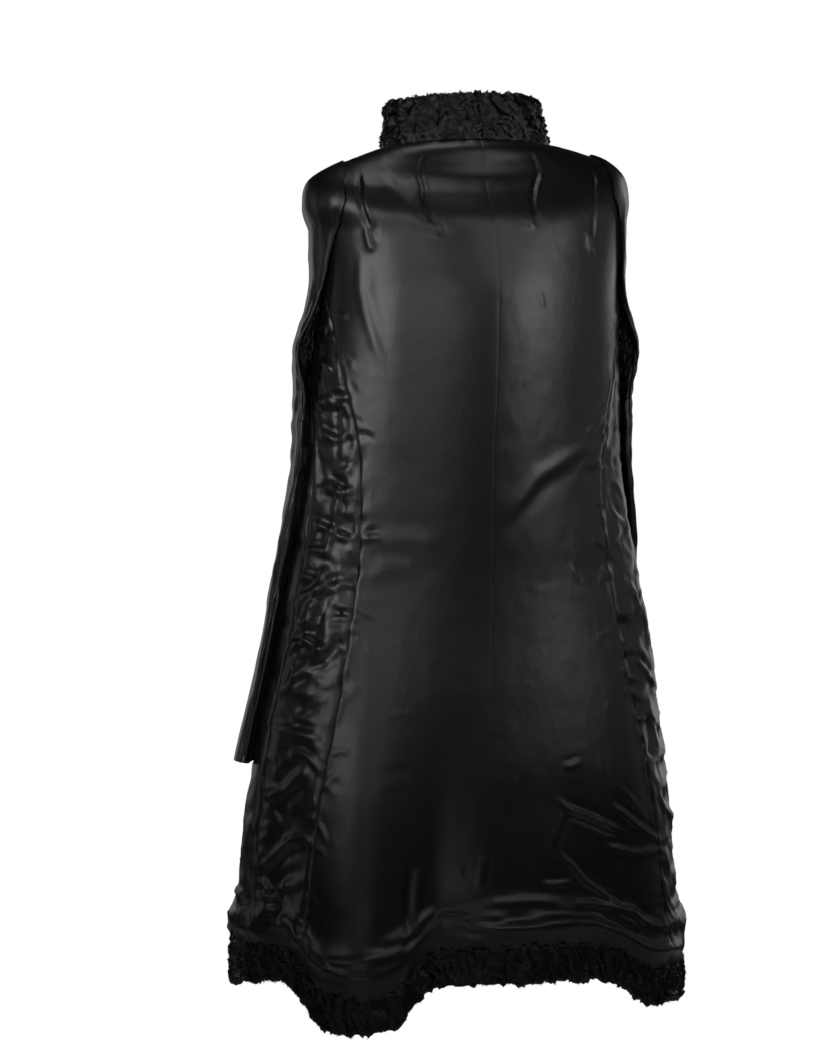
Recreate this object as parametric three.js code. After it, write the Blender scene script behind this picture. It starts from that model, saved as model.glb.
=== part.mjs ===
// A knee-length fur coat as it is worn inside out. The satin lining faces out, and the fur shows at
// the collar, the front facings, the turned-up hem and the gussets under the arms.
// Millimetres, +Z up. The wearer faces -Y, and the wearer's left is +X. The origin is the middle of
// the neck, at the height where the shoulders begin.
import * as THREE from "three";

// Driving dimensions
const SEAM_GAP = 0.3;
const SATIN_WALL = 3; // lining and pelt together
const SLEEVE_WALL = 2;
const FUR_PROUD = 3; // how far fur stands out of the satin beside it
const FACING_WIDTH = 62;
const FACING_RISE = 12; // below the neck seam the facing gains its full thickness over this
const FRONT_GAP = 8; // between the two front edges
const HEM_LEVEL = -950;
const HEM_BAND = 44; // height of the turned-up fur
const HEM_THICKNESS = 12;
const COLLAR_HEIGHT = 56;
const COLLAR_FRONT_HEIGHT = 48;
const COLLAR_THICKNESS = 10;
const COLLAR_LEAN = 11; // how far the top edge lies inside the neck seam
const COLLAR_SHIFT = 5; // how far the top edge stands to the left
const BLOUSE_LEVEL = -884; // where the lining bags over the hem
const BLOUSE_HEIGHT = 20;
const BLOUSE_DEPTH = 8;
const CUFF_LEVEL = -709;
const SLEEVE_FREE_LEVEL = -318; // below this the sleeve hangs beside the body
const SLEEVE_CLEARANCE = 4; // middle of the sleeve's inner wall to the body
const ROOT_CLEARANCE = 2.2; // the same at the armhole

const SLIVER = 0.6; // a triangle lower than this is avoided

const RIGHT = -1;
const LEFT = 1;
const SHOULDER_ANGLE = 90;

// The body, one row for each level. Angles go from 0 at centre back to 90 at the side seams' side
// and 180 at centre front. A level is named by its height at the sides.
// Heights at centre back and centre front, half the width, and how far the section lies to the left.
// The right side stands higher than the left by twice rise.
const WIDTHS = [
  { side: 3, back: 5, front: -60, halfWidth: 98, lean: 0, rise: 4 },
  { side: 0, back: -6, front: -66, halfWidth: 114, lean: 0, rise: 6 },
  { side: -8, back: -24, front: -77, halfWidth: 140, lean: -1, rise: 9 },
  { side: -19, back: -41, front: -91, halfWidth: 168, lean: -3, rise: 11 },
  { side: -37, back: -62, front: -108, halfWidth: 189, lean: -2, rise: 11 },
  { side: -62, back: -88, front: -126, halfWidth: 193, lean: -3, rise: 9 },
  { side: -90, back: -112, front: -146, halfWidth: 186, lean: -6, rise: 8 },
  { side: -130, back: -141, front: -170, halfWidth: 183, lean: -6, rise: 7 },
  { side: -170, back: -174, front: -198, halfWidth: 182, lean: -5, rise: 6 },
  { side: -235, back: -235, front: -245, halfWidth: 186, lean: -4, rise: 5 },
  { side: -295, back: -295, front: -298, halfWidth: 189, lean: -2, rise: 3 },
  { side: -365, back: -365, front: -365, halfWidth: 191, lean: 0, rise: 2 },
  { side: -480, back: -480, front: -480, halfWidth: 209, lean: -2, rise: 0 },
  { side: -570, back: -570, front: -570, halfWidth: 226, lean: -3, rise: 0 },
  { side: -660, back: -660, front: -660, halfWidth: 242, lean: -2, rise: 0 },
  { side: -755, back: -755, front: -755, halfWidth: 255, lean: -1, rise: 0 },
  { side: -850, back: -850, front: -850, halfWidth: 262, lean: 0, rise: 0 },
  { side: -960, back: -960, front: -960, halfWidth: 266, lean: -2, rise: 0 },
];

// Depths behind and in front of the middle, and the power of the back's rounding: 2 is an ellipse.
const DEPTHS = [
  { side: 3, backDepth: 58, frontDepth: 80, centre: 0, power: 2 },
  { side: 0, backDepth: 66, frontDepth: 85, centre: 0, power: 2 },
  { side: -8, backDepth: 69, frontDepth: 92, centre: 0, power: 2 },
  { side: -19, backDepth: 73, frontDepth: 100, centre: 0, power: 2 },
  { side: -37, backDepth: 86, frontDepth: 107, centre: 0, power: 1.95 },
  { side: -62, backDepth: 98, frontDepth: 113, centre: 0, power: 1.9 },
  { side: -90, backDepth: 102, frontDepth: 119, centre: 0, power: 1.85 },
  { side: -130, backDepth: 104, frontDepth: 126, centre: 0, power: 1.75 },
  { side: -170, backDepth: 105, frontDepth: 132, centre: 0, power: 1.7 },
  { side: -235, backDepth: 105, frontDepth: 134, centre: 0, power: 1.65 },
  { side: -295, backDepth: 103, frontDepth: 128, centre: 2, power: 1.6 },
  { side: -365, backDepth: 100, frontDepth: 113, centre: 5, power: 1.6 },
  { side: -480, backDepth: 106, frontDepth: 122, centre: 1, power: 1.75 },
  { side: -570, backDepth: 112, frontDepth: 136, centre: -3, power: 1.95 },
  { side: -660, backDepth: 125, frontDepth: 146, centre: -13, power: 2.05 },
  { side: -755, backDepth: 138, frontDepth: 156, centre: -21, power: 2.1 },
  { side: -850, backDepth: 150, frontDepth: 164, centre: -26, power: 2.15 },
  { side: -960, backDepth: 162, frontDepth: 172, centre: -33, power: 2.15 },
];

// The skirt's folds. bulge is how far a fold stands out at the hem, and drop how far it lowers the hem.
const FOLDS = [
  { at: 36, width: 16, bulge: 31, drop: 47, top: -520 },
  { at: 17, width: 9, bulge: -18, drop: 0, top: -600 },
  { at: -2, width: 11, bulge: 5, drop: 0, top: -640 },
  { at: -25, width: 8, bulge: -9, drop: 4, top: -700 },
  { at: -53, width: 20, bulge: 14, drop: 41, top: -600 },
  { at: 63, width: 6, bulge: -9, drop: 0, top: -640 },
  { at: 84, width: 9, bulge: 2, drop: 2, top: -640 },
  { at: -82, width: 8, bulge: -6, drop: 4, top: -700 },
  { at: 122, width: 13, bulge: 20, drop: 26, top: -720 },
  { at: 146, width: 9, bulge: -15, drop: 0, top: -600 },
  { at: 167, width: 9, bulge: 9, drop: 12, top: -600 },
  { at: -112, width: 12, bulge: 18, drop: 20, top: -720 },
  { at: -137, width: 10, bulge: -13, drop: 0, top: -620 },
  { at: -160, width: 10, bulge: 11, drop: 16, top: -620 },
];

const FOLD_POWER = 2; // 4 would make a fold flat on top
const DROP_POWER = 4;

// The princess seam from the armhole to the hem.
const PRINCESS = [
  { level: -150, angle: 86 },
  { level: -175, angle: 79.5 },
  { level: -210, angle: 72 },
  { level: -257, angle: 64.5 },
  { level: -305, angle: 58.5 },
  { level: -340, angle: 55.5 },
  { level: -400, angle: 52.5 },
  { level: -480, angle: 50 },
  { level: -620, angle: 48.5 },
  { level: -760, angle: 50.5 },
  { level: -960, angle: 52 },
];

// The side seam from the underarm to the hem.
const SIDE_SEAM = [
  { level: -284, angle: 92 },
  { level: -330, angle: 84 },
  { level: -400, angle: 79 },
  { level: -560, angle: 78.5 },
  { level: -660, angle: 80 },
  { level: -760, angle: 78 },
  { level: -960, angle: 77 },
];

// The armhole, once round from the shoulder tip: down the back, under the arm and up the front.
const ARMHOLE = [
  { angle: 90, level: -12 },
  { angle: 66, level: -22 },
  { angle: 58, level: -50 },
  { angle: 64, level: -80 },
  { angle: 75, level: -114 },
  { angle: 86, level: -150 },
  { angle: 93, level: -192 },
  { angle: 95, level: -240 },
  { angle: 92, level: -284 },
  { angle: 104, level: -290 },
  { angle: 115, level: -266 },
  { angle: 122, level: -225 },
  { angle: 126, level: -172 },
  { angle: 124, level: -115 },
  { angle: 115, level: -62 },
  { angle: 104, level: -28 },
];
const JUNCTION = 5; // rows of ARMHOLE where a seam meets it
const UNDERARM = 8;
const SIDE_START = 0.3; // the side panel starts this far past the junction

// The sleeve where it hangs free, flattened against the body's side.
const SLEEVE = [
  { level: -318, middle: 113, halfSpread: 26, thickness: 14, forwardRight: 0 },
  { level: -420, middle: 113, halfSpread: 23, thickness: 15, forwardRight: 2 },
  { level: -540, middle: 112, halfSpread: 20, thickness: 16, forwardRight: 11 },
  { level: -640, middle: 109, halfSpread: 17.5, thickness: 15, forwardRight: 16 },
  { level: -709, middle: 107, halfSpread: 16, thickness: 18, forwardRight: 15 },
];
// Places round the sleeve go from 0 at the shoulder tip down the back to 0.5 at the underarm. The
// sleeve is folded flat at these two.
const BACK_FOLD = 0.4;
const FRONT_FOLD = 0.66;
const HEAD_POWER = 1.2; // how soon the sleeve stands away from the body below the armhole
const HEAD_TURN = 0.65; // how soon it turns towards where it hangs
const BUNCH_LEVEL = -235; // the cloth bunches up behind the arm
const BUNCH_HEIGHT = 45;
const BUNCH_DEPTH = 15;
const BUNCH_PLACE = 0.18;
const GUSSET_DEPTH = 0.42; // share of the way from the armhole to where the sleeve hangs free

// Rows and columns of each patch
const SHOULDER_ROWS = 4;
const ARMHOLE_ROWS = 7;
const SKIRT_ROWS = 14;
const BACK_COLUMNS = 9;
const SIDE_COLUMNS = 5;
const SIDE_RUN_ROWS = 5;
const FRONT_COLUMNS = 9; // both front panels
const SIDE_FRONT_COLUMNS = 4;
const FACING_COLUMNS = 2;
const FRONT_SEAM_ROW = 12; // row of ARMHOLE where the sleeve's front seam starts
const GUSSET_STEP = 6; // step down the back of the armhole where the gusset starts
const GUSSET_COLUMNS = 6;
const GUSSET_ROWS = 4;
const SLEEVE_HEAD_ROWS = 8;
const SLEEVE_ARM_ROWS = 9;

const SATIN = { color: 0x17171a, roughness: 0.38, metalness: 0 };
const FUR = { color: 0x0a0a0b, roughness: 0.6, metalness: 0 };

const radians = THREE.MathUtils.degToRad;
const lerp = THREE.MathUtils.lerp;
const smooth = (x) => THREE.MathUtils.smoothstep(x, 0, 1);

// The value of one column of a table at a place along another, as a smooth curve through the rows.
function readTable(rows, key, place, column) {
  const down = rows[0][key] > rows[rows.length - 1][key] ? -1 : 1;
  const at = (i) => rows[Math.min(Math.max(i, 0), rows.length - 1)];
  let i = 0;
  while (i < rows.length - 2 && (place - rows[i + 1][key]) * down > 0) i += 1;
  const [before, low, high, after] = [at(i - 1), at(i), at(i + 1), at(i + 2)];
  const span = high[key] - low[key];
  const share = THREE.MathUtils.clamp((place - low[key]) / span, 0, 1);
  const slope = (a, b) => (b[key] === a[key] ? 0 : (b[column] - a[column]) / (b[key] - a[key]));
  const inner = slope(low, high);
  const limit = (s) => (s * inner <= 0 ? 0 : Math.sign(s) * Math.min(Math.abs(s), 3 * Math.abs(inner)));
  const first = limit(slope(before, high)) * span;
  const last = limit(slope(low, after)) * span;
  const s2 = share * share;
  const s3 = s2 * share;
  return (
    (2 * s3 - 3 * s2 + 1) * low[column] +
    (s3 - 2 * s2 + share) * first +
    (3 * s2 - 2 * s3) * high[column] +
    (s3 - s2) * last
  );
}

// A share of 0 to 1 that grows from a fold's top to the hem.
const foldGrowth = (fold, level) => smooth((fold.top - level) / (fold.top - HEM_LEVEL));

function foldSum(angle, level, column) {
  const power = column === "drop" ? DROP_POWER : FOLD_POWER;
  let sum = 0;
  for (const fold of FOLDS) {
    const away = ((angle - fold.at + 540) % 360) - 180;
    sum += fold[column] * Math.exp(-((away / fold.width) ** power)) * foldGrowth(fold, level);
  }
  return sum;
}

// A point of the smooth section at one level, with no folds.
function sectionPoint(angle, level) {
  const row = (column) => readTable(column in WIDTHS[0] ? WIDTHS : DEPTHS, "side", level, column);
  const sine = Math.sin(radians(angle));
  const cosine = Math.cos(radians(angle));
  const isBack = cosine >= 0;
  const power = isBack ? row("power") : 2;
  const depth = isBack ? row("backDepth") : row("frontDepth");
  const endHeight = isBack ? row("back") : row("front");
  const x = row("lean") + row("halfWidth") * Math.sign(sine) * Math.abs(sine) ** (2 / power);
  const y = row("centre") + depth * Math.sign(cosine) * Math.abs(cosine) ** (2 / power);
  const z = lerp(endHeight, level, sine * sine) - row("rise") * sine;
  return new THREE.Vector3(x, y, z);
}

// The coat's outer face: angle round the body in degrees, and level.
function bodyPoint(angle, level) {
  const point = sectionPoint(angle, level);
  const step = 0.5;
  const along = sectionPoint(angle + step, level).sub(sectionPoint(angle - step, level));
  const outward = new THREE.Vector3(-along.y, along.x, 0).normalize();
  const blouse = BLOUSE_DEPTH * Math.exp(-(((level - BLOUSE_LEVEL) / BLOUSE_HEIGHT) ** 2));
  point.addScaledVector(outward, foldSum(angle, level, "bulge") + blouse);
  point.z -= foldSum(angle, level, "drop");
  return point;
}

function bodyNormal(angle, level) {
  const step = 0.5;
  const rise = 2;
  const across = bodyPoint(angle + step, level).sub(bodyPoint(angle - step, level));
  const down = bodyPoint(angle, level - rise).sub(bodyPoint(angle, level + rise));
  return across.cross(down).normalize();
}

// A point that lies a distance out from the body's face.
const offBody = (angle, level, distance) =>
  bodyPoint(angle, level).addScaledVector(bodyNormal(angle, level), distance);

// Degrees round the body that make one millimetre.
function degreesPerMillimetre(angle, level) {
  return 1 / bodyPoint(angle + 0.5, level).distanceTo(bodyPoint(angle - 0.5, level));
}

// A closed mesh from points and triangles, turned so that its faces point out.
function closedMesh(name, finish, points, triangles) {
  let volume = 0;
  for (const [a, b, c] of triangles) {
    volume += points[a].dot(points[b].clone().cross(points[c]));
  }
  const index = triangles.flatMap(([a, b, c]) => (volume > 0 ? [a, b, c] : [a, c, b]));
  const geometry = new THREE.BufferGeometry();
  geometry.setFromPoints(points);
  geometry.setIndex(index);
  geometry.computeVertexNormals();
  const mesh = new THREE.Mesh(geometry, new THREE.MeshStandardMaterial(finish));
  mesh.name = name;
  return mesh;
}

// The smallest height of a triangle.
function thinness(a, b, c) {
  const area = b.clone().sub(a).cross(c.clone().sub(a)).length();
  return area / Math.max(a.distanceTo(b), b.distanceTo(c), c.distanceTo(a));
}

// Whether the four corners a, b, c, d of a quad are better split from a to c than from b to d. The
// shorter diagonal is taken unless it leaves a sliver.
function splitsFromFirst(quads) {
  const [a, b, c, d] = quads[0];
  const least = (pick) => Math.min(...quads.flatMap((quad) => pick(quad).map((t) => thinness(...t))));
  const first = least(([p, q, r, s]) => [[p, q, r], [p, r, s]]);
  const second = least(([p, q, r, s]) => [[q, r, s], [q, s, p]]);
  if (Math.min(first, second) < SLIVER) return first >= second;
  return a.distanceTo(c) <= b.distanceTo(d);
}

// A wall of cloth from two grids of points, its outer and its inner face.
function wall(name, finish, outer, inner) {
  const rows = outer.length;
  const columns = outer[0].length;
  const points = [...outer.flat(), ...inner.flat()];
  const front = (r, c) => r * columns + c;
  const rear = (r, c) => rows * columns + r * columns + c;
  const triangles = [];
  const quad = (a, b, c, d) => triangles.push([a, b, c], [a, c, d]);
  for (let r = 0; r < rows - 1; r += 1) {
    for (let c = 0; c < columns - 1; c += 1) {
      const corners = [outer, inner].map((grid) => [
        grid[r][c],
        grid[r + 1][c],
        grid[r + 1][c + 1],
        grid[r][c + 1],
      ]);
      if (splitsFromFirst(corners)) {
        quad(front(r, c), front(r + 1, c), front(r + 1, c + 1), front(r, c + 1));
        quad(rear(r, c), rear(r, c + 1), rear(r + 1, c + 1), rear(r + 1, c));
      } else {
        quad(front(r + 1, c), front(r + 1, c + 1), front(r, c + 1), front(r, c));
        quad(rear(r + 1, c), rear(r, c), rear(r, c + 1), rear(r + 1, c + 1));
      }
    }
    quad(front(r, 0), rear(r, 0), rear(r + 1, 0), front(r + 1, 0));
    quad(front(r, columns - 1), front(r + 1, columns - 1), rear(r + 1, columns - 1), rear(r, columns - 1));
  }
  for (let c = 0; c < columns - 1; c += 1) {
    quad(front(0, c), front(0, c + 1), rear(0, c + 1), rear(0, c));
    quad(front(rows - 1, c), rear(rows - 1, c), rear(rows - 1, c + 1), front(rows - 1, c + 1));
  }
  return closedMesh(name, finish, points, triangles);
}

// A thick strip from a row of closed profiles, capped at both ends.
function roll(name, finish, profiles) {
  const around = profiles[0].length;
  const points = profiles.flat();
  const at = (i, k) => i * around + (k % around);
  const triangles = [];
  for (let i = 0; i < profiles.length - 1; i += 1) {
    for (let k = 0; k < around; k += 1) {
      triangles.push([at(i, k), at(i + 1, k), at(i + 1, k + 1)], [at(i, k), at(i + 1, k + 1), at(i, k + 1)]);
    }
  }
  const last = profiles.length - 1;
  for (let k = 1; k < around - 1; k += 1) {
    triangles.push([at(0, 0), at(0, k), at(0, k + 1)], [at(last, 0), at(last, k + 1), at(last, k)]);
  }
  return closedMesh(name, finish, points, triangles);
}

// A panel of the body between two edges. An edge is a list of { angle, level }, one for each row.
function bodyPanel(name, finish, side, firstEdge, secondEdge, columns, outer = () => 0) {
  const grid = (distanceAt) =>
    firstEdge.map((first, r) => {
      const second = secondEdge[r];
      const middle = { angle: (first.angle + second.angle) / 2, level: (first.level + second.level) / 2 };
      const trim = (SEAM_GAP / 2) * degreesPerMillimetre(side * middle.angle, middle.level);
      const from = first.angle + Math.sign(second.angle - first.angle) * trim;
      const to = second.angle - Math.sign(second.angle - first.angle) * trim;
      return Array.from({ length: columns + 1 }, (_, c) => {
        const share = c / columns;
        const level = lerp(first.level, second.level, share);
        return offBody(side * lerp(from, to, share), level, distanceAt(level));
      });
    });
  return wall(name, finish, grid(outer), grid(() => -SATIN_WALL));
}

const spread = (from, to, count) => Array.from({ length: count + 1 }, (_, i) => lerp(from, to, i / count));
const upright = (angle, list) => list.map((level) => ({ angle, level }));
const princessAt = (level) => readTable(PRINCESS, "level", level, "angle");
const sideSeamAt = (level) => readTable(SIDE_SEAM, "level", level, "angle");
const facingAngle = (level) =>
  180 - THREE.MathUtils.radToDeg(FACING_WIDTH / readTable(WIDTHS, "side", level, "halfWidth"));

const NECK_LEVEL = WIDTHS[0].side - SEAM_GAP;
const FRONT_SHOULDER_LEVEL = -24; // at centre front, level with the shoulder tip's row
const LINING_END = HEM_LEVEL + HEM_BAND + SEAM_GAP;

// The armhole at a share of its way round, as a smooth closed curve.
function armholeAt(share) {
  const count = ARMHOLE.length;
  const place = (((share % 1) + 1) % 1) * count;
  const i = Math.floor(place);
  const t = place - i;
  const at = (k) => ARMHOLE[(i + k + count) % count];
  const read = (column) => {
    const [a, b, c, d] = [at(-1)[column], at(0)[column], at(1)[column], at(2)[column]];
    return b + 0.5 * t * (c - a + t * (2 * a - 5 * b + 4 * c - d + t * (3 * (b - c) + d - a)));
  };
  return { angle: read("angle"), level: read("level") };
}

// Places along the armhole between two of its rows.
const armholeRun = (from, to, rows) =>
  Array.from({ length: rows + 1 }, (_, r) => armholeAt(lerp(from, to, r / rows) / ARMHOLE.length));

// The rows that neighbouring panels share.
const shoulderLevels = spread(NECK_LEVEL, ARMHOLE[0].level, SHOULDER_ROWS);
const backRun = armholeRun(0, JUNCTION, ARMHOLE_ROWS);
const sideRun = armholeRun(JUNCTION + SIDE_START, UNDERARM, SIDE_RUN_ROWS);
const frontRun = armholeRun(ARMHOLE.length, UNDERARM, ARMHOLE.length - UNDERARM);
const skirtLevels = spread(ARMHOLE[UNDERARM].level, LINING_END, SKIRT_ROWS);
const seamLevels = [...sideRun.map((place) => place.level), ...skirtLevels.slice(1)];
const centreFrontLevels = [
  ...spread(NECK_LEVEL, FRONT_SHOULDER_LEVEL, SHOULDER_ROWS),
  ...spread(FRONT_SHOULDER_LEVEL, ARMHOLE[UNDERARM].level, ARMHOLE.length - UNDERARM).slice(1),
  ...skirtLevels.slice(1),
];

function backPanel(name, side) {
  const seam = seamLevels.map((level) => ({ angle: princessAt(level), level }));
  const outerEdge = [...upright(SHOULDER_ANGLE, shoulderLevels), ...backRun.slice(1), ...seam];
  const centreEdge = upright(0, outerEdge.map((place) => place.level));
  return bodyPanel(name, SATIN, side, centreEdge, outerEdge, BACK_COLUMNS);
}

function sidePanel(name, side) {
  const princess = seamLevels.map((level) => ({ angle: princessAt(level), level }));
  const sideSeam = skirtLevels.slice(1).map((level) => ({ angle: sideSeamAt(level), level }));
  const outerEdge = [...sideRun, ...sideSeam];
  return bodyPanel(name, SATIN, side, princess, outerEdge, SIDE_COLUMNS);
}

// The front is two panels, and the seam between them runs from the neck to the hem.
function frontEdges() {
  const outer = [
    ...upright(SHOULDER_ANGLE, shoulderLevels),
    ...frontRun.slice(1),
    ...skirtLevels.slice(1).map((level) => ({ angle: sideSeamAt(level), level })),
  ];
  const inner = centreFrontLevels.map((level) => ({ angle: facingAngle(level), level }));
  const share = SIDE_FRONT_COLUMNS / FRONT_COLUMNS;
  const seam = outer.map((place, i) => ({
    angle: lerp(place.angle, inner[i].angle, share),
    level: lerp(place.level, inner[i].level, share),
  }));
  return { outer, seam, inner };
}

function sideFrontPanel(name, side) {
  const { outer, seam } = frontEdges();
  return bodyPanel(name, SATIN, side, outer, seam, SIDE_FRONT_COLUMNS);
}

function frontPanel(name, side) {
  const { seam, inner } = frontEdges();
  return bodyPanel(name, SATIN, side, seam, inner, FRONT_COLUMNS - SIDE_FRONT_COLUMNS);
}

function facing(name, side) {
  const inner = centreFrontLevels.map((level) => ({ angle: facingAngle(level), level }));
  const opening = (level) => 180 - (FRONT_GAP / 2) * degreesPerMillimetre(180, level);
  const edge = centreFrontLevels.map((level) => ({ angle: opening(level), level }));
  const proud = (level) => FUR_PROUD * smooth((NECK_LEVEL - level) / FACING_RISE);
  return bodyPanel(name, FUR, side, inner, edge, FACING_COLUMNS, proud);
}

// The turned-up hem: an oblong with round ends, carried along the bottom of the coat. Its steps
// are the columns of the panels above it.
function hemBand(name, side, angles) {
  const middle = HEM_LEVEL + HEM_BAND / 2;
  const half = HEM_THICKNESS / 2;
  const straight = HEM_BAND / 2 - half;
  const corners = [-90, -45, 0, 0, 45, 90, 135, 180, 180, 225];
  const last = angles.length - 1;
  const profiles = angles.map((plain, i) => {
    const trim = (SEAM_GAP / 2) * degreesPerMillimetre(side * plain, HEM_LEVEL);
    const angle = side * (plain + (i === 0 ? trim : 0) - (i === last ? trim : 0));
    return corners.map((corner, k) => {
      const across = half * Math.cos(radians(corner)) + FUR_PROUD - half;
      const end = k >= 3 && k <= 7 ? straight : -straight;
      return offBody(angle, middle + end + half * Math.sin(radians(corner)), across);
    });
  });
  return roll(name, FUR, profiles);
}

function hemAngles() {
  const seam = princessAt(LINING_END);
  const sideSeam = sideSeamAt(LINING_END);
  const facingStart = facingAngle(LINING_END);
  const opening = 180 - (FRONT_GAP / 2) * degreesPerMillimetre(180, HEM_LEVEL);
  return {
    back: [...spread(0, seam, BACK_COLUMNS), ...spread(seam, sideSeam, SIDE_COLUMNS).slice(1)],
    front: [
      ...spread(sideSeam, facingStart, FRONT_COLUMNS),
      ...spread(facingStart, opening, FACING_COLUMNS).slice(1),
    ],
  };
}

// The stand collar: an oblong with a round top, carried round the neck seam.
function collarHalf(name, side) {
  const half = COLLAR_THICKNESS / 2;
  const facingStart = facingAngle(NECK_LEVEL);
  const opening = 180 - (FRONT_GAP / 2) * degreesPerMillimetre(180, NECK_LEVEL);
  const angles = [
    ...spread(0, SHOULDER_ANGLE, BACK_COLUMNS),
    ...spread(SHOULDER_ANGLE, facingStart, FRONT_COLUMNS).slice(1),
    ...spread(facingStart, opening, FACING_COLUMNS).slice(1),
  ];
  angles[0] += (SEAM_GAP / 2) * degreesPerMillimetre(0, NECK_LEVEL);
  const profiles = angles.map((plain) => {
    const angle = plain * side;
    const foot = sectionPoint(angle, WIDTHS[0].side);
    foot.z += SEAM_GAP;
    const inward = new THREE.Vector3(-foot.x, -foot.y, 0).normalize();
    const height = lerp(COLLAR_HEIGHT, COLLAR_FRONT_HEIGHT, smooth(Math.abs(angle) / 180));
    const at = (rise, out) => {
      const lean = COLLAR_LEAN * (rise / height);
      const shifted = new THREE.Vector3(COLLAR_SHIFT * (rise / height), 0, 0);
      return foot.clone().addScaledVector(inward, lean - out).add(shifted.setComponent(2, rise));
    };
    const top = height - half;
    return [
      at(0, half - 2),
      at(height * 0.35, half),
      at(top, half),
      at(top + half * 0.7, half * 0.7),
      at(height, 0),
      at(top + half * 0.7, -half * 0.7),
      at(top, -half),
      at(height * 0.35, -half),
      at(0, -half + 2),
    ];
  });
  return roll(name, FUR, profiles);
}

// A place round the sleeve, moved so that the folds come at a quarter and at three quarters.
function foldedPlace(place) {
  if (place < FRONT_FOLD - 1) return foldedPlace(place + 1) - 1;
  if (place < 0) return (place * 0.25) / (1 - FRONT_FOLD);
  if (place < BACK_FOLD) return (place * 0.25) / BACK_FOLD;
  if (place < FRONT_FOLD) return 0.25 + (0.5 * (place - BACK_FOLD)) / (FRONT_FOLD - BACK_FOLD);
  return 0.75 + (0.25 * (place - FRONT_FOLD)) / (1 - FRONT_FOLD);
}

// The sleeve's middle surface. place goes round it from 0 to 1, and way goes down it: 0 at the
// armhole, 1 where it starts to hang free, and 2 at the cuff. Gives angle, level and distance.
function sleevePlace(side, place, way) {
  const turn = 2 * Math.PI * foldedPlace(place);
  const forward = side === RIGHT ? 1 : 0;
  const freeAt = (level) => {
    const row = (column) => readTable(SLEEVE, "level", level, column);
    const flat = Math.sign(Math.cos(turn)) * Math.abs(Math.cos(turn)) ** 0.7;
    return {
      angle: row("middle") + forward * row("forwardRight") - row("halfSpread") * Math.sin(turn),
      level,
      distance: SLEEVE_CLEARANCE + (row("thickness") / 2) * (1 + flat),
    };
  };
  if (way >= 1) return freeAt(lerp(SLEEVE_FREE_LEVEL, CUFF_LEVEL, way - 1));
  const root = armholeAt(place);
  const free = freeAt(SLEEVE_FREE_LEVEL);
  const out = way ** HEAD_POWER;
  const level = lerp(root.level, free.level, way);
  const bunch =
    BUNCH_DEPTH *
    Math.exp(-(((level - BUNCH_LEVEL) / BUNCH_HEIGHT) ** 2)) *
    (0.5 + 0.5 * Math.cos(turn - 2 * Math.PI * BUNCH_PLACE)) *
    Math.sin(Math.PI * way);
  return {
    angle: lerp(root.angle, free.angle, way ** HEAD_TURN),
    level,
    distance: lerp(ROOT_CLEARANCE, free.distance, out) + bunch,
  };
}

function sleevePoint(side, place, way) {
  const { angle, level, distance } = sleevePlace(side, place, way);
  return offBody(side * angle, level, distance);
}

function offSleeve(side, place, way, distance) {
  const step = 0.004;
  const rise = 0.01;
  const low = Math.max(way - rise, 0);
  const across = sleevePoint(side, place + step, way).sub(sleevePoint(side, place - step, way));
  const down = sleevePoint(side, place, way + rise).sub(sleevePoint(side, place, low));
  const normal = down.cross(across).normalize().multiplyScalar(side);
  return sleevePoint(side, place, way).addScaledVector(normal, distance);
}

const GUSSET_START = (GUSSET_STEP * JUNCTION) / ARMHOLE.length / ARMHOLE_ROWS;
const GUSSET_END = UNDERARM / ARMHOLE.length;

// How far down the sleeve the fur gusset reaches at a place round it.
function gussetReach(place) {
  const share = (place - GUSSET_START) / (GUSSET_END - GUSSET_START);
  return share <= 0 || share >= 1 ? 0 : GUSSET_DEPTH * Math.sin(Math.PI * share) ** 0.8;
}

const sleeveWay = (place, way) => (way >= 1 ? way : lerp(gussetReach(place), 1, way));

// A patch of the sleeve. Its outer face may be raised: proud takes a place's share of the patch's
// width and of its length.
function sleevePatch(name, finish, side, places, wayAt, ways, proud = () => 0) {
  const half = SLEEVE_WALL / 2;
  const grid = (distanceAt) =>
    ways.map((w, r) =>
      places.map((place, c) => {
        const distance = distanceAt(c / (places.length - 1), r / (ways.length - 1));
        return offSleeve(side, place, wayAt(place, w), distance);
      }),
    );
  return wall(name, finish, grid((u, v) => half + proud(u, v)), grid(() => -half));
}

const sleeveWays = [
  ...spread(0, 1, SLEEVE_HEAD_ROWS).map((way) => way ** 1.4),
  ...spread(1, 2, SLEEVE_ARM_ROWS).slice(1),
];
const WAY_GAP = 0.014; // between the gusset and the sleeve, as a share of the sleeve's head
const PLACE_GAP = 0.0012; // half a seam's gap round the sleeve

// Columns round the sleeve. They stand where the armhole edge has its points.
const gussetPlaces = spread(GUSSET_START, GUSSET_END, GUSSET_COLUMNS);
const backSeam = gussetPlaces[GUSSET_COLUMNS / 2];

// Draws the two ends of a run of columns in by half a seam.
function withGaps(places) {
  const drawn = [...places];
  drawn[0] += PLACE_GAP;
  drawn[drawn.length - 1] -= PLACE_GAP;
  return drawn;
}

function upperSleeve(name, side) {
  const front = spread(FRONT_SEAM_ROW / ARMHOLE.length - 1, 0, ARMHOLE.length - FRONT_SEAM_ROW);
  const back = spread(0, GUSSET_START, GUSSET_STEP);
  const gussetPart = gussetPlaces.filter((place) => place <= backSeam);
  const places = withGaps([...front, ...back.slice(1), ...gussetPart.slice(1)]);
  return sleevePatch(name, SATIN, side, places, sleeveWay, sleeveWays);
}

function underSleeve(name, side) {
  const gussetPart = gussetPlaces.filter((place) => place >= backSeam);
  const front = spread(GUSSET_END, FRONT_SEAM_ROW / ARMHOLE.length, FRONT_SEAM_ROW - UNDERARM);
  const places = withGaps([...gussetPart, ...front.slice(1)]);
  return sleevePatch(name, SATIN, side, places, sleeveWay, sleeveWays);
}

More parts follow.
